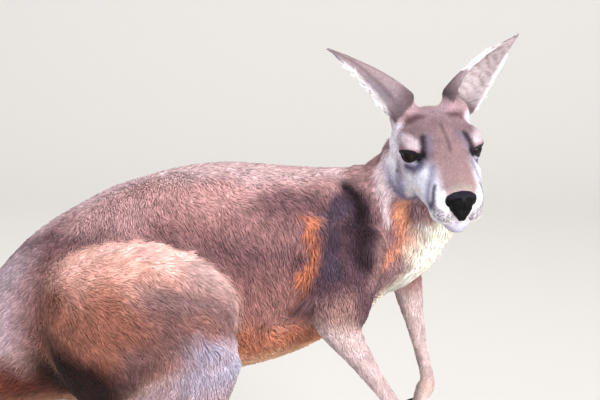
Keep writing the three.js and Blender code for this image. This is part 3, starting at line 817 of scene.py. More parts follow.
def paint_body(paint, part, normals):
    near = paint.places
    paint.blob("rump", 0.8, (-342, -80, 352), (95, 90, 92), 0.8)
    paint.blob("rump_speckle", 1.0, (-255, -60, 480), (95, 60, 42), 0.7)
    paint.strokes(TRUNK_STROKES)

    over_middle = near[:, 2] - np.interp(near[:, 0], *np.transpose(TAIL_MIDDLE))
    tail_ink = by_height(over_middle, TAIL_BY_HEIGHT)
    paint.colours = mixed(paint.colours, tail_ink, part["tail"] * smoothstep(-370, -430, near[:, 0]))
    paint.mark("tail_tip", 0.6 * part["tail_tip"])

    thigh_ink = by_height(near[:, 2] + 0.10 * near[:, 0], THIGH_BY_HEIGHT)
    paint.colours = mixed(paint.colours, thigh_ink, part["thigh"])
    paint.strokes(THIGH_STROKES, part["thigh"])
    paint.blob("knee", 1.0, (-105, -175, 325), (42, 60, 34), 0.8, part["thigh"])
    paint.mark("shank", part["shank"])
    paint.blob("knee", 1.0, (-95, -170, 315), (60, 80, 50), 0.8, part["shank"])
    paint.mark("foot", np.maximum(part["foot"], part["toe"]))
    paint.mark("foot_dark", part["toe"] * smoothstep(-160, -60, near[:, 0]))

    paint.mark("neck", part["neck"])
    paint.mark("back", 0.5 * part["neck"] * smoothstep(0.1, 0.8, normals[:, 2]))
    paint.stroke("neck_pale", 0.85, [(108, -36, 552), (110, -56, 516), (116, -72, 482)], 12, 0.8)
    paint.mark("upper_arm", part["upper_arm"])
    paint.strokes(SHOULDER_STROKES)
    arm = part["upper_arm"] + part["forearm"]
    paint.blob("elbow", 1.0, (45, -116, 368), (40, 50, 34), 0.9, arm)
    paint.mark("forearm", part["forearm"] * smoothstep(375, 340, near[:, 2]))
    paint.mark("paw", part["hand"])
    paint.strokes(THROAT_STROKES)
    breast = part["trunk"] + part["neck"]
    front = smoothstep(0.1, 0.6, normals[:, 0]) * breast
    paint.mark("cream", front * smoothstep(118, 142, near[:, 0]) * smoothstep(500, 470, near[:, 2]))
    paint.stroke("cream", 1.0, CHEST_LINE, (44, 38), 0.9, breast)


# %% Strokes on the face
CHEEK_STROKES = [
    ("jaw", 0.75, [(-4, -53, -14), (0, -50, -34), (6, -44, -52)], 9, 0.9),
    ("bridge", 1.0, [(22, 0, 34), (50, 0, 22), (74, 0, 8), (88, 0, -3)], (22, 30), 0.5),
    ("brow", 1.0, [(-10, -48, 20), (4, -49, 26), (18, -46, 28), (28, -38, 30)], (11, 8), 0.7),
]
CROWN_STROKES = [
    ("crown_dark", 0.85, [(-20, -22, 46), (-24, -36, 38)], 10, 0.8),
    # painted shade along the brow furrow
    ("crease", 0.7, [(2, 0, 42), (20, 0, 36), (44, 0, 26)], 2.4, 0.9),
    ("white", 0.9, [(24, -44, -16), (40, -40, -26), (54, -34, -36)], (12, 12), 0.9),
    ("white", 0.9, [(22, -41, -28), (12, -40, -50)], 9, 0.9),
]
LIP_STROKES = [
    ("white", 1.0, [(94, -15, -44), (84, -24, -48), (66, -26, -54)], (18, 14), 0.5),
    ("white", 1.0, [(90, -22, -12), (92, -23, -22), (92, -23, -34)], (4, 8), 0.6),
]
MUZZLE_STROKES = [
    ("jaw", 0.8, [(56, -28, 10), (66, -30, -4), (70, -32, -20), (72, -31, -34)], (8, 9), 1.0),
    ("dark", 0.9, [(76, -29, -8), (81, -31, -18), (83, -31, -27), (79, -32, -34)], (4, 7), 0.9),
    ("nose_fur", 0.8, [(91, 0, -5), (90, -10, -8)], 6, 0.8),
    ("eye_shade", 1.0, [(14, -50, -8), (26, -43, -6), (36, -35, 3)], (8, 12), 1.0),
]
EYE_STROKES = [
    ("jaw", 0.6, [(17, -22, 28), (28, -23, 18), (34, -28, 6)], 10, 1.0),
    ("dark", 0.9, [(13, -27, 28), (20, -29, 24), (26, -30, 19), (28, -31, 13)], (5.5, 9), 0.9),
    ("dark", 1.0, [(22, -38, 8), (26, -34, 9), (29, -31, 11)], (7, 8), 0.6),
]
WHISKER_ROW = np.array([(85, -31, -30), (89, -27, -33), (92, -22, -36), (94, -16, -39), (95, -10, -42)])
WHISKER_ROWS, ROW_STEP = 4, np.array([0, 0, 4.2])
CHEEK_SPOT = (-6, -53, -22)


def paint_face(paint):
    ahead, height = paint.places[:, 0], paint.places[:, 2]
    low = smoothstep(18, -2, height - 0.25 * np.maximum(-ahead, 0))
    paint.mark("side_head", low * smoothstep(20, -20, ahead))
    paint.stroke("side_head", 0.9, [(-32, -46, 26), (-30, -50, 5), (-28, -50, -20)], 14, 0.8)
    paint.mark("cheek", low * smoothstep(-5, 25, ahead))
    paint.mark("cheek_low", smoothstep(-20, -40, height))
    paint.mark("jaw", smoothstep(-34, -52, height) * smoothstep(60, 20, ahead))
    paint.strokes(CHEEK_STROKES)
    paint.blob("forehead", 0.8, (24, -16, 30), (18, 14, 14), 0.8)
    paint.strokes(CROWN_STROKES)
    paint.blob("throat_lit", 0.9, (5, -40, -70), (16, 14, 13), 0.8)
    paint.strokes(LIP_STROKES)
    paint.blob("chin", 0.9, (88, 0, -66), (26, 22, 14), 0.7)
    paint.strokes(MUZZLE_STROKES)
    paint.blob("dark", 0.75, paint.onto_skin(CHEEK_SPOT), (4, 5, 4), 0.9)
    paint.strokes(EYE_STROKES)
    for k in range(WHISKER_ROWS):
        row = WHISKER_ROW - ROW_STEP * k
        paint.stroke("jaw", 0.75, row, (2.2, 1.6), 0.9)
        for root in row[:4]:
            paint.stroke("dark", 0.7, [root, root + [1, 2.2, -1.2]], 1.7, 0.9)
    paint.mark("dark", 0.9 * stroke(paint.places, mirrored(MOUTH_LINE, -1), 1.8, 0.7))
    paint.stroke("dark", 1.0, [(98, 0, -42), (97, 0, -50)], (3.2, 2.4), 0.7)


# %% Ears
EAR_ROOT = np.array([-50, 33, 36])  # of the left ear, on the head ruler
EAR_LEAN = np.array([-0.3, 0.745, 0.605])
EAR_LINE = unit(EAR_LEAN)
EAR_LENGTH = 142
LEFT_OPENS, RIGHT_OPENS = [0.86, 0.5, 0.1], [-0.4, 0.9, 0.1]  # the right ear is mirrored first
RIM_ANGLES = [2.7, 2.25, 1.85, 1.62, 1.48, 1.36, 1.25, 1.15, 1.05]  # from the ear's root to its tip


def ear_ruler(head, turned_normals):
    """An ear is a rolled leaf: height up it, angle from its back, its rims' angle, and how it faces in."""
    sign = np.where(head[:, 1] > 0, 1.0, -1.0)
    mouth = np.where(sign[:, None] > 0, LEFT_OPENS, RIGHT_OPENS)
    mouth = mouth - (mouth @ EAR_LINE)[:, None] * EAR_LINE
    mouth /= np.linalg.norm(mouth, axis=1)[:, None]
    across = np.cross(EAR_LINE, mouth)
    flip = np.stack([np.ones_like(sign), sign, np.ones_like(sign)], axis=1)
    arm = head * flip - EAR_ROOT
    height = arm @ EAR_LINE
    share = np.clip((height / EAR_LENGTH + 0.08) / 1.08, 0, 1)
    ahead = (arm * mouth).sum(1) - 3.6 * np.sin(math.pi * share)
    aside = (arm * across).sum(1)
    from_back = math.pi - np.abs(np.arctan2(aside, ahead))
    rim_angle = np.interp(share, np.linspace(0, 1, len(RIM_ANGLES)), RIM_ANGLES)
    reach = np.maximum(np.hypot(ahead, aside), 1e-6)
    radial = (mouth * ahead[:, None] + across * aside[:, None]) / reach[:, None]
    return height, from_back, rim_angle, -(turned_normals * flip * radial).sum(1)


def paint_ears(paint, on_ear, head, normals):
    """Paints both ears, and gives how far each point is fringe, which starts higher towards the crown."""
    height, from_back, rim_angle, inward = ear_ruler(head, normals @ head_axes.T)
    inside = smoothstep(0.0, 0.4, inward)
    # a painted highlight on the upward-facing parts of the ear backs
    paint.mark("spine", 0.35 * (1 - inside) * smoothstep(0.25, 0.85, normals[:, 2]))
    # painted shade on the ear back near its root
    paint.mark("ear_shade", 0.6 * (1 - inside) * smoothstep(30, 12, height))
    paint.mark("ear_inside", inside)
    ribs = np.sin(height * 0.55 + 5 * value_noise(head * MM, 0.012, 9))
    paint.mark("ear_rib", 0.7 * inside * smoothstep(0.35, 0.95, ribs))
    # painted shade deep in the ear's cup, near its root
    paint.mark("ear_shade", 0.7 * inside * smoothstep(34, 16, height))
    paint.mark("ear_rim", 0.15 * inside * smoothstep(80, 45, height) * smoothstep(14, 32, height))
    # a painted shadow line along the fold beside the fringe
    fold = np.exp(-((from_back - rim_angle + 0.95) / 0.14) ** 2)
    paint.mark("ear_shade", 0.5 * fold * (1 - inside) * smoothstep(16, 30, height))
    fringe = smoothstep(rim_angle - 0.6, rim_angle - 0.3, from_back) * (1 - 0.85 * inside) * on_ear
    towards_crown = smoothstep(3, -3, np.abs(head[:, 1]) - EAR_ROOT[1] - EAR_LEAN[1] * height)
    fringe = fringe * smoothstep(10, 16, height - 30 * towards_crown)
    paint.mark("ear_rim", fringe)
    return fringe


# %% Laying the marks
WOBBLE = 26  # millimetres, so that no mark has an even edge
FACE_WOBBLE = 0.12  # and how much of that is left on the face
LID_REACH = 24
PARTS = {"trunk": ("chest", "loins"), "neck": "neck", "tail": "tail", "tail_tip": "tail_tip",
         "thigh": "thigh", "shank": "shank", "foot": "foot", "toe": "toe", "upper_arm": "upper_arm",
         "forearm": "forearm", "hand": "hand"}


def belongs(owner, edges, starts, rounds=8):
    """How far each point of the skin belongs to the solids with these names, blurred over the net."""
    return relaxed(np.isin(owner, numbered(starts)).astype(float), edges, rounds)


def all_one(ink, like):
    return np.repeat(INK[ink][None], len(like), 0)


def painted(skin_points, normals, owner, edges):
    """The colour of each point of the skin, how far it is ear fringe, and how far from a lid's edge."""
    wobble = np.stack([value_noise(skin_points, 0.035, s) - 0.5 for s in (1, 2, 3)], axis=1) * WOBBLE
    near = as_on_the_right(on_body(skin_points)) + wobble
    head = on_head(skin_points) + wobble * FACE_WOBBLE
    part = {name: belongs(owner, edges, starts) for name, starts in PARTS.items()}
    on_the_head, on_ear = belongs(owner, edges, "head", 3), belongs(owner, edges, "ear", 2)

    body = Paint(by_height(near[:, 2], BODY_BY_HEIGHT), near)
    paint_body(body, part, normals)

    forehead = mixed(all_one("forehead", head), INK["crown"], smoothstep(0, -35, head[:, 0]))
    face = Paint(forehead, as_on_the_right(head))
    paint_face(face)
    nape = smoothstep(-78, -46, head[:, 0] - 0.25 * np.abs(head[:, 2]))
    body.colours = mixed(body.colours, face.colours, on_the_head * nape)

    ears = Paint(all_one("ear_back", head), head)
    fringe = paint_ears(ears, on_ear, head, normals)
    body.colours = mixed(body.colours, ears.colours, on_ear)

    rims = np.full(len(head), 99.0)
    for sign in SIDES.values():
        across, above, facing, distance = eye_places(on_head(skin_points), sign)[:4]
        rim = opening(across, above)
        on_lids = (distance < LID_REACH) & (facing > 0.1)
        rims = np.where(on_lids, np.minimum(rims, rim), rims)
        body.mark("dark", smoothstep(0, 1.4, 2.6 + 2.2 * smoothstep(-1, 3, above) - rim) * on_lids)
    return body.colours, fringe, rims


skin_points, skin_normals = points_of(skin.data), normals_of(skin.data)
edges = edges_of(skin.data)
owner, _ = owners_of(skin_points)
ink, ear_fringe, eye_rims = painted(skin_points, skin_normals, owner, edges)
print("mean skin colour", ink.mean(0).round(3), "ear fringe points", int((ear_fringe > 0.5).sum()))

# %% [markdown]
# ## The lie of the coat
# Hair grows from the nose back over the head, out along the ears, down the neck, and from each limb's
# root to its paw. On the flanks it falls forward and down in slanting streaks, and on the thighs it runs
# from the hip to the knee, with a soft fringe that stands up along the thigh's top. A few named combings
# are spread over the skin, and laid flat on it.

# %% Combing
COMBED_BODY = [  # a place on the right side, and which way the hair lies there
    ((-65, -8, 532), (0.45, -0.85, -0.2)), ((-129, -8, 531), (0.4, -0.85, -0.2)),
    ((27, -12, 525), (0.5, -0.8, -0.2)), ((-210, -20, 515), (0.1, -0.9, -0.3)),
    ((-330, -10, 470), (-0.8, -0.4, -0.4)), ((-400, -5, 420), (-0.9, -0.2, -0.4)),
    ((-124, -68, 510), (0.75, -0.3, -0.55)), ((-60, -60, 512), (0.8, -0.25, -0.5)),
    ((10, -62, 505), (0.7, -0.3, -0.65)), ((-100, -97, 478), (0.65, -0.1, -0.75)),
    ((-32, -102, 460), (0.62, 0, -0.78)), ((-60, -109, 420), (0.55, 0, -0.84)),
    ((-7, -105, 377), (0.42, 0, -0.9)), ((-60, -108, 350), (0.4, 0, -0.92)),
    ((0, -85, 325), (0.5, 0.3, -0.8)), ((-40, 0, 305), (0.3, 0.9, -0.1)),
    ((-259, -68, 480), (0.2, -0.4, -0.9)), ((-330, -74, 420), (-0.4, -0.2, -0.9)),
    ((-370, -60, 360), (-0.8, -0.1, -0.6)), ((-340, -40, 300), (-0.7, 0.2, -0.6)),
    ((-300, 0, 300), (-0.8, 0.3, -0.3)), ((60, -90, 450), (0.15, -0.1, -1)),
    ((20, -100, 430), (0.1, -0.1, -1)), ((150, -40, 440), (0.1, 0.1, -1)), ((150, 0, 390), (-0.1, 0, -1)),
    ((100, -50, 340), (-0.5, 0.2, -0.7)), ((100, 0, 320), (-0.9, 0, -0.3)),
    ((110, -60, 500), (-0.2, -0.2, -0.95)), ((90, -20, 545), (-0.8, -0.3, -0.5)),
    ((140, -50, 480), (-0.1, -0.1, -1)),
]
COMBED_THIGH = [
    ((-295, -135, 430), (0.75, -0.3, 0.35)), ((-320, -139, 385), (0.6, -0.3, -0.7)),
    ((-240, -136, 446), (0.8, -0.2, 0.4)), ((-180, -130, 446), (0.85, -0.2, 0.3)),
    ((-330, -140, 320), (0.3, 0, -0.95)), ((-240, -175, 395), (0.7, -0.3, -0.4)),
    ((-189, -183, 368), (0.8, -0.1, -0.6)), ((-140, -182, 380), (0.8, 0, -0.65)),
    ((-100, -140, 400), (0.85, 0, -0.5)), ((-80, -125, 355), (0.8, 0, -0.6)),
    ((-282, -165, 320), (0.75, -0.1, -0.5)), ((-250, -150, 262), (0.5, 0.1, -0.8)),
    ((-180, -160, 280), (0.6, 0, -0.75)), ((-120, -178, 330), (0.6, 0, -0.8)),
    ((-230, -110, 270), (0, 0.5, -0.8)),
]
COMBED_HEAD = [
    ((92, 0, -6), (-1, 0, 0.35)), ((60, 0, 16), (-1, 0, 0.3)), ((20, 0, 34), (-1, 0, 0.2)),
    ((-20, -8, 46), (-0.9, -0.3, 0)), ((92, -16, -40), (-0.6, -0.5, -0.5)),
    ((60, -30, -20), (-0.9, -0.2, -0.2)), ((75, -26, -42), (-0.8, -0.3, -0.5)),
    ((20, -40, -10), (-0.85, -0.2, -0.4)), ((5, -46, 28), (-0.8, -0.3, 0.1)),
    ((-20, -52, 0), (-0.8, -0.1, -0.6)), ((30, -36, -40), (-0.8, -0.1, -0.5)),
    ((-15, -50, -40), (-0.5, 0, -0.9)), ((-30, -40, 30), (-0.6, -0.6, 0.1)),
    ((60, 0, -60), (-1, 0, -0.3)), ((10, 0, -60), (-0.9, 0, -0.5)), ((94, 0, -58), (-0.6, 0, -0.8)),
]


def combed(places, table, power=2.5):
    spots = np.array([row[0] for row in table], float)
    ways = np.array([unit(np.array(row[1], float)) for row in table])
    distance = np.linalg.norm(places[:, None] - spots[None], axis=2) + 4
    weight = distance ** -power
    return (weight[..., None] * ways[None]).sum(1) / weight.sum(1)[:, None]


def mirrored_comb(places, table):
    sign = np.where(places[:, 1] > 0, -1.0, 1.0)[:, None]
    flip = np.concatenate([np.ones_like(sign), sign, np.ones_like(sign)], axis=1)
    return combed(places * flip, table) * flip


def bone(start, end):
    return unit(centre(end) - centre(start))


lie = mirrored_comb(on_body(skin_points), COMBED_BODY)
on_thigh, on_skull = (np.isin(owner, numbered(start)) for start in ("thigh", "head"))
lie[on_thigh] = mirrored_comb(on_body(skin_points[on_thigh]), COMBED_THIGH)
lie[on_skull] = mirrored_comb(on_head(skin_points[on_skull]), COMBED_HEAD) @ head_axes
for side in SIDES:
    ways = {"upper_arm_": unit(bone("upper_arm_" + side, "forearm_" + side) + [0, 0, -0.4]),
            "forearm_": bone("forearm_" + side, "hand_" + side),
            "hand_": np.array([0.5, 0, -0.85]),
            "shank_": bone("shank_" + side, "foot_" + side) * [1, 1, 1.2],
            "foot_": np.array([0.97, 0, -0.2]),
            "toe_": np.array([0.95, 0, -0.3])}
    for name, way in ways.items():
        on_limb = [i for i in numbered(name) if flesh[i].endswith(side)]
        lie[np.isin(owner, on_limb)] = way
    ear_points = np.array([v.co for v in solids["ear_" + side].data.vertices])
    ear_tip = ear_points[np.argmax(np.linalg.norm(on_head(ear_points), axis=1))]
    lie[owner == flesh.index("ear_" + side)] = unit(ear_tip - from_head(EAR_ROOT * [1, SIDES[side], 1]))
for name, after in (("tail_base", "tail_middle"), ("tail_middle", "tail_tip")):
    lie[owner == flesh.index(name)] = bone(name, after)
lie[owner == flesh.index("tail_tip")] = unit(np.array([-1, 0.15, -0.1]))


def laid_flat(ways, normals):
    flat = ways - normals * (ways * normals).sum(1)[:, None]
    return flat / np.maximum(np.linalg.norm(flat, axis=1), 1e-9)[:, None]


lie = laid_flat(lie, skin_normals)
for _ in range(4):
    lie = laid_flat(relaxed(lie, edges, 6), skin_normals)
print("combed", len(lie), "points")

# %% [markdown]
# ## The coat
# A tuft is a small closed spindle: one point at the root, two points at the sides of its waist, and one
# point at the tip, which bends over to lie along the body. Roots are scattered evenly over the skin,
# closest on the face and the paws, where the hair is short. Neighbouring tips are drawn together a little,
# as damp or ruffled hair clumps, and the colour runs from a dark root to a pale tip. There are hundreds of
# thousands of tufts, so their points are worked out all at once, in arrays.

# %% How the coat grows on each part
# length, width and spacing in millimetres, and the angle at which the hair leaves the skin
COAT = {
    "chest": (11.5, 1.15, 1.78, 15), "loins": (11.5, 1.2, 1.85, 15), "neck": (10.5, 1.1, 1.75, 16),
    "thigh": (12.5, 1.15, 1.75, 16), "tail_base": (11, 1.4, 2.3, 14), "tail_middle": (11, 1.4, 2.4, 13),
    "tail_tip": (9, 1.4, 2.3, 12), "upper_arm": (9, 1.1, 1.7, 16), "forearm": (7, 1.0, 1.7, 12),
    "hand": (4.5, 0.95, 1.5, 10), "shank": (9, 1.2, 2.0, 13), "foot": (6.5, 1.2, 2.1, 10),
    "toe": (5, 1.1, 1.8, 9),
    "head": (5.0, 0.85, 1.35, 12), "ear": (4.5, 0.85, 1.5, 8),
}
CELL = 1.06  # one root is kept in each cell, this many spacings wide
CELLS = 8192  # cells across the whole space, for numbering them
rng = np.random.default_rng(7)


def triangles_of(mesh):
    mesh.calc_loop_triangles()
    flat = np.empty(len(mesh.loop_triangles) * 3, dtype=np.int64)
    mesh.loop_triangles.foreach_get("vertices", flat)
    return flat.reshape(-1, 3)


def cell_numbers(places):
    """One number for each whole cell of space."""
    cell = np.floor(places).astype(np.int64) + CELLS // 2
    return (cell[:, 0] * CELLS + cell[:, 1]) * CELLS + cell[:, 2]


def scattered(points, triangles, wanted_spacing, crowd=5):
    """Triangle numbers and weights of roots about one spacing apart, from random ones thinned by cells."""
    a, b, c = (points[triangles[:, i]] for i in range(3))
    area = 0.5 * np.linalg.norm(np.cross(b - a, c - a), axis=1)
    gap = wanted_spacing[triangles].mean(1)
    expected = crowd * area / gap ** 2
    picked = np.repeat(np.arange(len(triangles)), np.floor(expected + rng.random(len(expected))).astype(int))
    picked = picked[rng.permutation(len(picked))]
    u, v = rng.random(len(picked)), rng.random(len(picked))
    over = u + v > 1
    u[over], v[over] = 1 - u[over], 1 - v[over]
    weights = np.stack([1 - u - v, u, v], axis=1)
    place = (points[triangles[picked]] * weights[..., None]).sum(1)
    step = 2.0 ** (np.round(np.log2(gap[picked] / MM) * 3) / 3) * MM  # sizes in a few even classes
    size_class = np.round(np.log2(step / MM) * 3).astype(int)
    _, first = np.unique(cell_numbers(place / (step[:, None] * CELL)) * 64 + size_class, return_index=True)
    return picked[first], weights[first], place[first]


def at_roots(values, triangles, picked, weights):
    corner = values[triangles[picked]]
    return (corner * (weights[..., None] if values.ndim > 1 else weights)).sum(1)


lengths, widths, spacings, lifts = (per_solid({k: v[i] for k, v in COAT.items()}) for i in range(4))
BLENDED = 14  # rounds over which one part's coat passes into the next
coat_length, coat_width, coat_spacing, coat_lift = (
    relaxed(values[owner], edges, BLENDED) for values in (lengths, widths, spacings, lifts))

head_places = on_head(skin_points)
near_side = as_on_the_right(on_body(skin_points))
in_head = relaxed((owner == flesh.index("head")).astype(float), edges, 4)
on_muzzle = in_head * smoothstep(40, 80, head_places[:, 0])
on_face = in_head * smoothstep(-20, 20, head_places[:, 0])
coat_length *= (1 - 0.25 * on_face) * (1 - 0.35 * on_muzzle)
coat_width *= (1 - 0.12 * on_face) * (1 - 0.15 * on_muzzle)
sole = 1 - smoothstep(0.004, 0.022, skin_points[:, 2])
coat_length *= 1 - 0.65 * sole
by_the_lids = smoothstep(14, 3, eye_rims)
coat_length *= 1 - 0.45 * by_the_lids
coat_lift *= 1 - 0.4 * by_the_lids

FLUFF = [  # where hair stands out: a line on the right side, its reach, and how much
    ([(-290, -134, 432), (-262, -132, 444), (-200, -132, 450), (-150, -125, 440)], 24, 0.8),
    ([(-75, -113, 350), (-92, -120, 395), (-120, -122, 420)], 16, 0.6),
    ([(-130, -178, 345), (-100, -170, 338), (-80, -150, 336)], 18, 0.8),
    ([(44, -120, 372), (36, -116, 355), (60, -118, 372)], 26, 1.0),
    ([(-70, -104, 338), (-20, -90, 318), (30, -80, 318), (70, -70, 330)], 26, 0.8),
    ([(140, -60, 480), (152, -50, 440), (150, -30, 400)], 30, 0.4),
    ([(150, 0, 440), (150, 0, 390), (120, 0, 330)], 40, 0.4),
]
fluff = np.zeros(len(skin_points))
for line, reach, amount in FLUFF:
    fluff = np.maximum(fluff, amount * stroke(near_side, line, reach, 0.9))
woolly = stroke(near_side, WOOL_LINE, (14, 18), 0.5)
coat_length *= 1 + 0.35 * fluff + 0.45 * woolly
coat_lift += 20 * fluff + 16 * woolly
print("coat length from", coat_length.min().round(1), "to", coat_length.max().round(1))

# %% The unwrap that places each tuft on the baked sheet
sheet = new_object("unwrap_sheet", skin.data.copy())
sheet.vertex_groups.clear()
thinner = sheet.modifiers.new("thinner", "DECIMATE")
thinner.ratio = 0.06
applied(sheet)
for other in bpy.context.view_layer.objects:
    other.select_set(other == sheet)
bpy.context.view_layer.objects.active = sheet
bpy.ops.object.mode_set(mode="EDIT")
bpy.ops.mesh.select_all(action="SELECT")
bpy.ops.uv.smart_project(angle_limit=math.radians(60), island_margin=0.004)
bpy.ops.object.mode_set(mode="OBJECT")
sheet_points = points_of(sheet.data)
sheet.data.calc_loop_triangles()
sheet_triangles = triangles_of(sheet.data)
sheet_loops = np.empty(len(sheet.data.loop_triangles) * 3, dtype=np.int64)
sheet.data.loop_triangles.foreach_get("loops", sheet_loops)
sheet_uv = np.empty(len(sheet.data.loops) * 2)
sheet.data.uv_layers.active.data.foreach_get("uv", sheet_uv)
sheet_uv = sheet_uv.reshape(-1, 2)[sheet_loops.reshape(-1, 3)]
sheet_tree = BVHTree.FromPolygons([Vector(p) for p in sheet_points], sheet_triangles.tolist())
bpy.data.objects.remove(sheet)
print("unwrapped", len(sheet_triangles), "faces, uv to", sheet_uv.max().round(3))


def on_sheet(points):
    """Where each point lies on the unwrapped skin."""
    face = np.empty(len(points), dtype=np.int64)
    place = np.empty((len(points), 3))
    for i, point in enumerate(points):
        where, _, face[i], _ = sheet_tree.find_nearest(Vector(point))
        place[i] = where
    a, b, c = (sheet_points[sheet_triangles[face, i]] for i in range(3))
    n = np.cross(b - a, c - a)
    size = (n * n).sum(1)
    wb = (np.cross(place - a, c - a) * n).sum(1) / size
    wc = (np.cross(b - a, place - a) * n).sum(1) / size
    w = np.clip(np.stack([1 - wb - wc, wb, wc], axis=1), 0, 1)
    w /= w.sum(1)[:, None]
    return (sheet_uv[face] * w[..., None]).sum(1)


# %% Where the tufts grow
triangles = triangles_of(skin.data)
pad_tree = BVHTree.FromObject(pad, bpy.context.evaluated_depsgraph_get())
thin = 1.0
picked, weights, roots = scattered(skin_points, triangles, coat_spacing * MM * thin)
root_eye = at_roots(eye_rims, triangles, picked, weights)
root_head = at_roots(head_places, triangles, picked, weights)
allowed = (root_eye > 2.2) & ((from_mouth(root_head) > 1.3) | (root_head[:, 0] < 30))
close = np.nonzero((root_head[:, 0] > 70) & (np.linalg.norm(root_head, axis=1) < 140))[0]
for i in close:
    place, normal, _, distance = pad_tree.find_nearest(Vector(roots[i]))
    inside = (Vector(roots[i]) - place).dot(normal) < 0
    allowed[i] &= not inside and distance > 1.2 * MM
claw_trees = [BVHTree.FromObject(c, bpy.context.evaluated_depsgraph_get()) for c in claws]
low = np.nonzero(roots[:, 2] < 0.3)[0]
for tree, claw in zip(claw_trees, claws):
    heart = points_of(claw.data).mean(0)
    for i in low[np.linalg.norm(roots[low] - heart, axis=1) < 0.035]:
        place, normal, _, distance = tree.find_nearest(Vector(roots[i]))
        allowed[i] &= distance > 0.8 * MM and (Vector(roots[i]) - place).dot(normal) > 0
picked, weights, roots = picked[allowed], weights[allowed], roots[allowed]
print(len(roots), "tufts will grow")

# %% The shape of every tuft
def turned(vectors, axes, angles):
    c, s = np.cos(angles)[:, None], np.sin(angles)[:, None]
    return vectors * c + np.cross(axes, vectors) * s + axes * (vectors * axes).sum(1)[:, None] * (1 - c)


count = len(roots)
up = at_roots(skin_normals, triangles, picked, weights)
up /= np.linalg.norm(up, axis=1)[:, None]
way = laid_flat(at_roots(lie, triangles, picked, weights), up)
length = at_roots(coat_length, triangles, picked, weights) * MM * rng.uniform(0.75, 1.25, count)
width = at_roots(coat_width, triangles, picked, weights) * MM * rng.uniform(0.75, 1.2, count)
lift = np.radians(at_roots(coat_lift, triangles, picked, weights) * rng.uniform(0.6, 1.4, count))
fluffy = at_roots(fluff, triangles, picked, weights)
wool = at_roots(woolly, triangles, picked, weights)
rim = at_roots(ear_fringe, triangles, picked, weights)
length *= 1 + 0.9 * rim
lift += 0.5 * rim

sway = (value_noise(roots, 0.022, 11) - 0.5) * 1.1 + (value_noise(roots, 0.007, 12) - 0.5) * 0.8
sway += rng.normal(0, 0.13, count) + wool * (value_noise(roots, 0.009, 13) - 0.5) * 3.0
way = turned(way, up, sway)
side_way = np.cross(up, way)

waist = roots + way * (length * np.cos(lift) * 0.42)[:, None] + up * (length * np.sin(lift) * 0.62)[:, None]
tips = roots + way * (length * np.cos(lift * 0.6))[:, None] + up * (length * np.sin(lift) * 0.80)[:, None]
tips += side_way * (wool * rng.normal(0, 0.12, count) * length)[:, None]

clump_size = np.clip(length * 0.55, 0.003, 0.02)[:, None].round(3)
cells = cell_numbers((roots + rng.normal(0, 0.0012, (count, 3))) / clump_size)
_, clump = np.unique(cells, return_inverse=True)
clump = clump.ravel()
members = np.bincount(clump)
meeting = np.stack([np.bincount(clump, tips[:, i]) / members for i in range(3)], axis=1)[clump]
pull = (0.22 + 0.45 * wool)[:, None]
tips = tips + (meeting - tips) * pull
waist = waist + (meeting - waist) * pull * 0.25
shade_of_clump = rng.normal(0, 1, len(members))[clump]
print("tufts per clump", members.mean().round(1))

# %% Joining the tufts into pieces
# a tuft's points are its root, the two sides of its waist, and its tip
TUFT_FACES = np.array([[0, 1, 2], [3, 2, 1], [0, 3, 1], [0, 2, 3]])
ROOT_DEPTH = 0.0009
ABOVE_SOLE = 0.0005  # hair beside the soles rests on the ground
PATCH = 0.0015  # half the size of a tuft's patch on the baked sheet
PATCH_CORNERS = np.array([[0, -PATCH], [-PATCH, 0], [PATCH, 0], [0, PATCH]])
SUNLIT = np.array([0.86, 0.74, 0.70])  # the palest tip
DARKEST, PALEST = 0.004, 0.95


def store_colours(mesh, name, colours):
    """Writes one colour for each point of the mesh."""
    rgba = np.ones((len(mesh.vertices), 4))
    rgba[:, :3] = colours.reshape(-1, 3)
    mesh.color_attributes.new(name, "FLOAT_COLOR", "POINT")
    mesh.color_attributes[name].data.foreach_set("color", rgba.astype(np.float32).ravel())


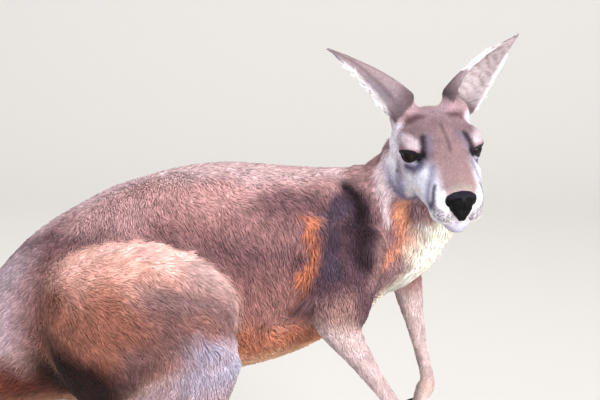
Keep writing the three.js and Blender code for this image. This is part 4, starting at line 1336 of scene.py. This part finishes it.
def tuft_mesh(name, chosen):
    n = len(chosen)
    along = tips[chosen] - roots[chosen]
    along /= np.linalg.norm(along, axis=1)[:, None]
    side = np.cross(up[chosen], along)
    side /= np.maximum(np.linalg.norm(side, axis=1), 1e-6)[:, None]
    half = 0.5 * width[chosen][:, None]
    out = up[chosen]
    verts = np.stack([roots[chosen] - out * ROOT_DEPTH, waist[chosen] - side * half,
                      waist[chosen] + side * half, tips[chosen]], axis=1)
    verts[..., 2] = np.maximum(verts[..., 2], ABOVE_SOLE + rng.uniform(0, 0.0003, (n, 4)))
    base = np.arange(n)[:, None, None] * 4
    faces = (base + TUFT_FACES[None]).reshape(-1, 3)
    mesh = bpy.data.meshes.new(name)
    mesh.vertices.add(n * 4)
    mesh.vertices.foreach_set("co", verts.astype(np.float32).ravel())
    mesh.loops.add(len(faces) * 3)
    mesh.loops.foreach_set("vertex_index", faces.astype(np.int32).ravel())
    mesh.polygons.add(len(faces))
    mesh.polygons.foreach_set("loop_start", np.arange(0, len(faces) * 3, 3, dtype=np.int32))
    mesh.update(calc_edges=True)
    mesh.shade_smooth()

    base_colour = at_roots(ink, triangles, picked[chosen], weights[chosen])
    long_hair = smoothstep(3, 10, length[chosen] / MM)
    noise = value_noise(roots[chosen], 0.012, 21) + 0.9 * value_noise(roots[chosen], 0.0042, 22) - 0.95
    tone = np.exp((0.06 + 0.06 * long_hair) * shade_of_clump[chosen] + (0.1 + 0.3 * long_hair) * noise
                  + rng.normal(0, 0.13, n))
    # dark at the root, pale at the tip
    steps = 1 + np.array([-0.28, -0.05, -0.05, 0.20]) * long_hair[:, None]
    colour = base_colour[:, None] * (tone[:, None] * steps)[..., None]
    pale_tip = (0.2 * fluffy[chosen] * smoothstep(0.05, 0.3, base_colour.mean(1)))[:, None]
    colour[:, 3] += (SUNLIT - colour[:, 3]) * pale_tip
    store_colours(mesh, "coat", np.clip(colour, DARKEST, PALEST))

    spot = on_sheet(roots[chosen])
    uv = np.clip(spot[:, None] + PATCH_CORNERS[None], 0, 1).reshape(-1, 2)[faces.ravel()]
    layer = mesh.uv_layers.new(name="OFBake")
    layer.data.foreach_set("uv", uv.astype(np.float32).ravel())
    mesh.validate()
    # the coat is lit as one soft surface: each hair takes most of its shading from the body under it
    leaning = np.stack([out, out * 0.8 - side * 0.5, out * 0.8 + side * 0.5,
                        out * 0.85 + along * 0.3], axis=1)
    leaning += rim[chosen][:, None, None] * np.array([0.0, -0.8, 1.2])
    leaning /= np.linalg.norm(leaning, axis=2)[..., None]
    mesh.normals_split_custom_set_from_vertices(leaning.reshape(-1, 3))
    return mesh


LARGEST = 49000  # tufts in one piece
root_owner = owner[triangles[picked, 0]]
GROUPS = {"head": ("head",), "ears": ("ear",), "neck": ("neck",), "chest": ("chest",), "loins": ("loins",),
          "thigh_left": ("thigh_left",), "thigh_right": ("thigh_right",), "tail": ("tail",),
          "arms": ("upper_arm", "forearm", "hand"), "legs": ("shank", "foot", "toe")}
coats = []
for group, starts in GROUPS.items():
    mine = np.nonzero(np.isin(root_owner, numbered(starts)))[0]
    mine = mine[np.argsort(roots[mine, 0])]
    shares = max(1, -(-len(mine) // LARGEST))
    for i, chosen in enumerate(np.array_split(mine, shares)):
        name = "coat_" + group + ("" if shares == 1 else "_" + "abcdef"[i])
        piece = new_object(name, tuft_mesh(name, chosen))
        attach(piece, "root")
        coats.append(piece)
        print(name, len(chosen), "tufts", len(piece.data.polygons), "faces")

# %% [markdown]
# ## Materials
# Hair is matt with a faint sheen where it turns away from the eye. The skin under it carries the same
# markings, a little darker where the coat is long, and a fine grain where it is short. Eyes are almost
# black and wet. The nose is dark pebbled leather, and the claws are brown horn with growth lines.

# %% Shader groups
def shader_group(name, inputs, outputs):
    group = bpy.data.node_groups.new(name, "ShaderNodeTree")
    for socket, kind, value in inputs:
        made = group.interface.new_socket(socket, in_out="INPUT", socket_type=kind)
        if value is not None:
            made.default_value = value
    for socket, kind in outputs:
        group.interface.new_socket(socket, in_out="OUTPUT", socket_type=kind)
    return group, group.nodes.new("NodeGroupInput"), group.nodes.new("NodeGroupOutput")


FLOAT, COLOUR = "NodeSocketFloat", "NodeSocketColor"

# Markings broken up by fine speckle, as single hairs are never quite one colour
speckle, given, result = shader_group(
    "speckled_hair", [("Colour", COLOUR, None), ("Scale", FLOAT, 400.0), ("Contrast", FLOAT, 0.3)],
    [("Colour", COLOUR), ("Height", FLOAT)])
place = speckle.nodes.new("ShaderNodeTexCoord")
grain = speckle.nodes.new("ShaderNodeTexNoise")
grain.inputs["Detail"].default_value = 3.0
spread = speckle.nodes.new("ShaderNodeMapRange")
low_side = speckle.nodes.new("ShaderNodeMath")
low_side.operation = "SUBTRACT"
low_side.inputs[0].default_value = 1.0
high_side = speckle.nodes.new("ShaderNodeMath")
high_side.operation = "ADD"
high_side.inputs[0].default_value = 1.0
scaled = speckle.nodes.new("ShaderNodeVectorMath")
scaled.operation = "SCALE"
for a, b in [(place.outputs["Object"], grain.inputs["Vector"]),
             (given.outputs["Scale"], grain.inputs["Scale"]),
             (given.outputs["Contrast"], low_side.inputs[1]),
             (given.outputs["Contrast"], high_side.inputs[1]),
             (grain.outputs["Fac"], spread.inputs["Value"]),
             (low_side.outputs[0], spread.inputs["To Min"]),
             (high_side.outputs[0], spread.inputs["To Max"]),
             (given.outputs["Colour"], scaled.inputs[0]),
             (spread.outputs["Result"], scaled.inputs["Scale"]),
             (scaled.outputs["Vector"], result.inputs["Colour"]),
             (grain.outputs["Fac"], result.inputs["Height"])]:
    speckle.links.new(a, b)
spread.inputs["From Min"].default_value = 0.3
spread.inputs["From Max"].default_value = 0.7


# %% Finishes
def new_material(name, **constants):
    made = bpy.data.materials.new(name)
    made.use_nodes = True
    shader = made.node_tree.nodes["Principled BSDF"]
    for key, value in constants.items():
        shader.inputs[key.replace("_", " ")].default_value = value
    return made, made.node_tree, shader


def with_group(tree, group, **values):
    node = tree.nodes.new("ShaderNodeGroup")
    node.node_tree = group
    for key, value in values.items():
        node.inputs[key].default_value = value
    return node


def bumped(tree, height, strength, distance):
    bump = tree.nodes.new("ShaderNodeBump")
    bump.inputs["Strength"].default_value = strength
    bump.inputs["Distance"].default_value = distance
    tree.links.new(height, bump.inputs["Height"])
    return bump.outputs["Normal"]


def stored_colour(tree, name):
    node = tree.nodes.new("ShaderNodeVertexColor")
    node.layer_name = name
    return node.outputs["Color"]


def hair_material(name, roughness, scale, contrast, bump):
    made, tree, shader = new_material(name, Roughness=roughness, Sheen_Weight=0.06, Specular_IOR_Level=0.2)
    marks = stored_colour(tree, "coat")
    grain = with_group(tree, speckle, Scale=scale, Contrast=contrast)
    tree.links.new(marks, grain.inputs["Colour"])
    tree.links.new(grain.outputs["Colour"], shader.inputs["Base Color"])
    if bump:
        tree.links.new(bumped(tree, grain.outputs["Height"], bump, 0.0008), shader.inputs["Normal"])
    return made


tuft_hair = hair_material("tuft_hair", 0.72, 260.0, 0.10, 0)
under_hair = hair_material("under_hair", 0.85, 700.0, 0.22, 0.7)
for piece in coats:
    piece.data.materials.append(tuft_hair)

shade_under = 1 - 0.22 * smoothstep(6, 14, coat_length)
store_colours(skin.data, "coat", np.clip(ink * shade_under[:, None], DARKEST, PALEST))
skin.data.materials.append(under_hair)

wet, tree, shader = new_material("wet_eye", Roughness=0.06, Specular_IOR_Level=0.16)
tree.links.new(stored_colour(tree, "iris"), shader.inputs["Base Color"])
EYE_BLACK, IRIS_BROWN = np.array([0.0025, 0.002, 0.002]), np.array([0.012, 0.0055, 0.003])
for side, eye in eyes.items():
    turn = eye_places(on_head(points_of(eye.data)), SIDES[side])[2]
    off = np.degrees(np.arccos(np.clip(turn, -1, 1)))
    ring = smoothstep(17, 20, off) * smoothstep(36, 31, off)
    store_colours(eye.data, "iris", mixed(np.repeat(EYE_BLACK[None], len(off), 0), IRIS_BROWN, ring))
    eye.data.materials.append(wet)

leather, tree, shader = new_material("nose_skin", Roughness=0.48, Specular_IOR_Level=0.09)
pebbles = tree.nodes.new("ShaderNodeTexVoronoi")
pebbles.inputs["Scale"].default_value = 900.0
place = tree.nodes.new("ShaderNodeTexCoord")
tree.links.new(place.outputs["Object"], pebbles.inputs["Vector"])
tree.links.new(bumped(tree, pebbles.outputs["Distance"], 0.6, 0.0006), shader.inputs["Normal"])
tree.links.new(stored_colour(tree, "pad"), shader.inputs["Base Color"])
pad_places = on_head(points_of(pad.data))
# painted shade in the nostrils
hollow = np.max([stroke(pad_places, mirrored(NOSTRIL_LINE, s), 4.2, 0.7) for s in SIDES.values()], axis=0)
# the pad's upper part is a paler slate, a painted sheen; the lower part is near black leather
lower = smoothstep(-15, -21, pad_places[:, 2])
leather_and_sheen = mixed(np.repeat(linear((26, 25, 34))[None], len(pad_places), 0), linear((6, 5, 7)), lower)
store_colours(pad.data, "pad", mixed(leather_and_sheen, linear((3, 3, 4)), hollow))
pad.data.materials.append(leather)

horn, tree, shader = new_material("claw_keratin", Roughness=0.35, Specular_IOR_Level=0.5)
rings = tree.nodes.new("ShaderNodeTexWave")
rings.inputs["Scale"].default_value = 180.0
rings.inputs["Distortion"].default_value = 2.0
place = tree.nodes.new("ShaderNodeTexCoord")
tree.links.new(place.outputs["Object"], rings.inputs["Vector"])
ramp = tree.nodes.new("ShaderNodeValToRGB")
ramp.color_ramp.elements[0].color = (0.016, 0.012, 0.011, 1)
ramp.color_ramp.elements[1].color = (0.050, 0.038, 0.032, 1)
tree.links.new(rings.outputs["Fac"], ramp.inputs["Fac"])
tree.links.new(ramp.outputs["Color"], shader.inputs["Base Color"])
tree.links.new(bumped(tree, rings.outputs["Fac"], 0.3, 0.0003), shader.inputs["Normal"])
for claw in claws:
    claw.data.materials.append(horn)
print(len(bpy.data.materials), "materials")

# %% [markdown]
# ## The studio
# A plain pale floor that runs up behind in one sweep, a big soft key light from the front and above, a
# wide fill, and a light from behind that catches the rim of hair along the spine and the ears.

# %% Floor, lights and camera
work = bmesh.new()
profile = [(-4.0, 0.0), (2.2, 0.0)]
profile += [(2.2 + 1.2 * math.sin(a), 1.2 - 1.2 * math.cos(a)) for a in np.radians(np.arange(10, 91, 10))]
profile += [(3.4, 5.0)]
rows = [[work.verts.new((x, y, z)) for y, z in profile] for x in (-7.0, 7.0)]
for i in range(len(profile) - 1):
    work.faces.new([rows[0][i], rows[1][i], rows[1][i + 1], rows[0][i + 1]])
mesh = bpy.data.meshes.new("studio_floor")
work.to_mesh(mesh)
work.free()
mesh.shade_smooth()
floor = new_object("studio_floor", mesh)
paper, _, _ = new_material("paper", Base_Color=(0.62, 0.60, 0.57, 1), Roughness=0.9)
floor.data.materials.append(paper)


def soft_light(name, place, aim, size, power, colour=(1, 1, 1)):
    data = bpy.data.lights.new(name, "AREA")
    data.shape = "DISK"
    data.size = size
    data.energy = power
    data.color = colour
    lamp = new_object(name, data)
    lamp.location = Vector(place)
    lamp.rotation_euler = (Vector(aim) - lamp.location).to_track_quat("-Z", "Y").to_euler()
    return lamp


middle = Vector((float(body_start[0]), 0.0, 0.45))
soft_light("key", middle + Vector((1.7, -2.7, 1.7)), middle, 1.6, 140, (1.0, 0.975, 0.95))
soft_light("fill", middle + Vector((-2.6, -2.4, 1.2)), middle, 2.2, 50, (0.96, 0.97, 1.0))
soft_light("bounce", middle + Vector((2.5, -1.4, -0.1)), middle, 1.3, 60, (1.0, 0.95, 0.9))
soft_light("rim", middle + Vector((-0.6, 1.6, 2.5)), middle, 1.2, 40)

world = bpy.data.worlds.new("room")
world.use_nodes = True
world.node_tree.nodes["Background"].inputs["Color"].default_value = (0.85, 0.87, 0.92, 1)
world.node_tree.nodes["Background"].inputs["Strength"].default_value = 0.75
bpy.context.scene.world = world
bpy.context.scene.view_settings.view_transform = "Standard"

AZIMUTH, ELEVATION, DISTANCE = math.radians(3), math.radians(12), 3.2
aim = middle + Vector((0, 0, 0.034))
camera_data = bpy.data.cameras.new("camera")
camera_data.lens, camera_data.sensor_width = 147.7, 36
camera = new_object("camera", camera_data)
camera.location = aim + DISTANCE * Vector((math.sin(AZIMUTH) * math.cos(ELEVATION),
                                           -math.cos(AZIMUTH) * math.cos(ELEVATION), math.sin(ELEVATION)))
camera.rotation_euler = (aim - camera.location).to_track_quat("-Z", "Y").to_euler()
bpy.context.scene.camera = camera
print("camera at", [round(v, 3) for v in camera.location])
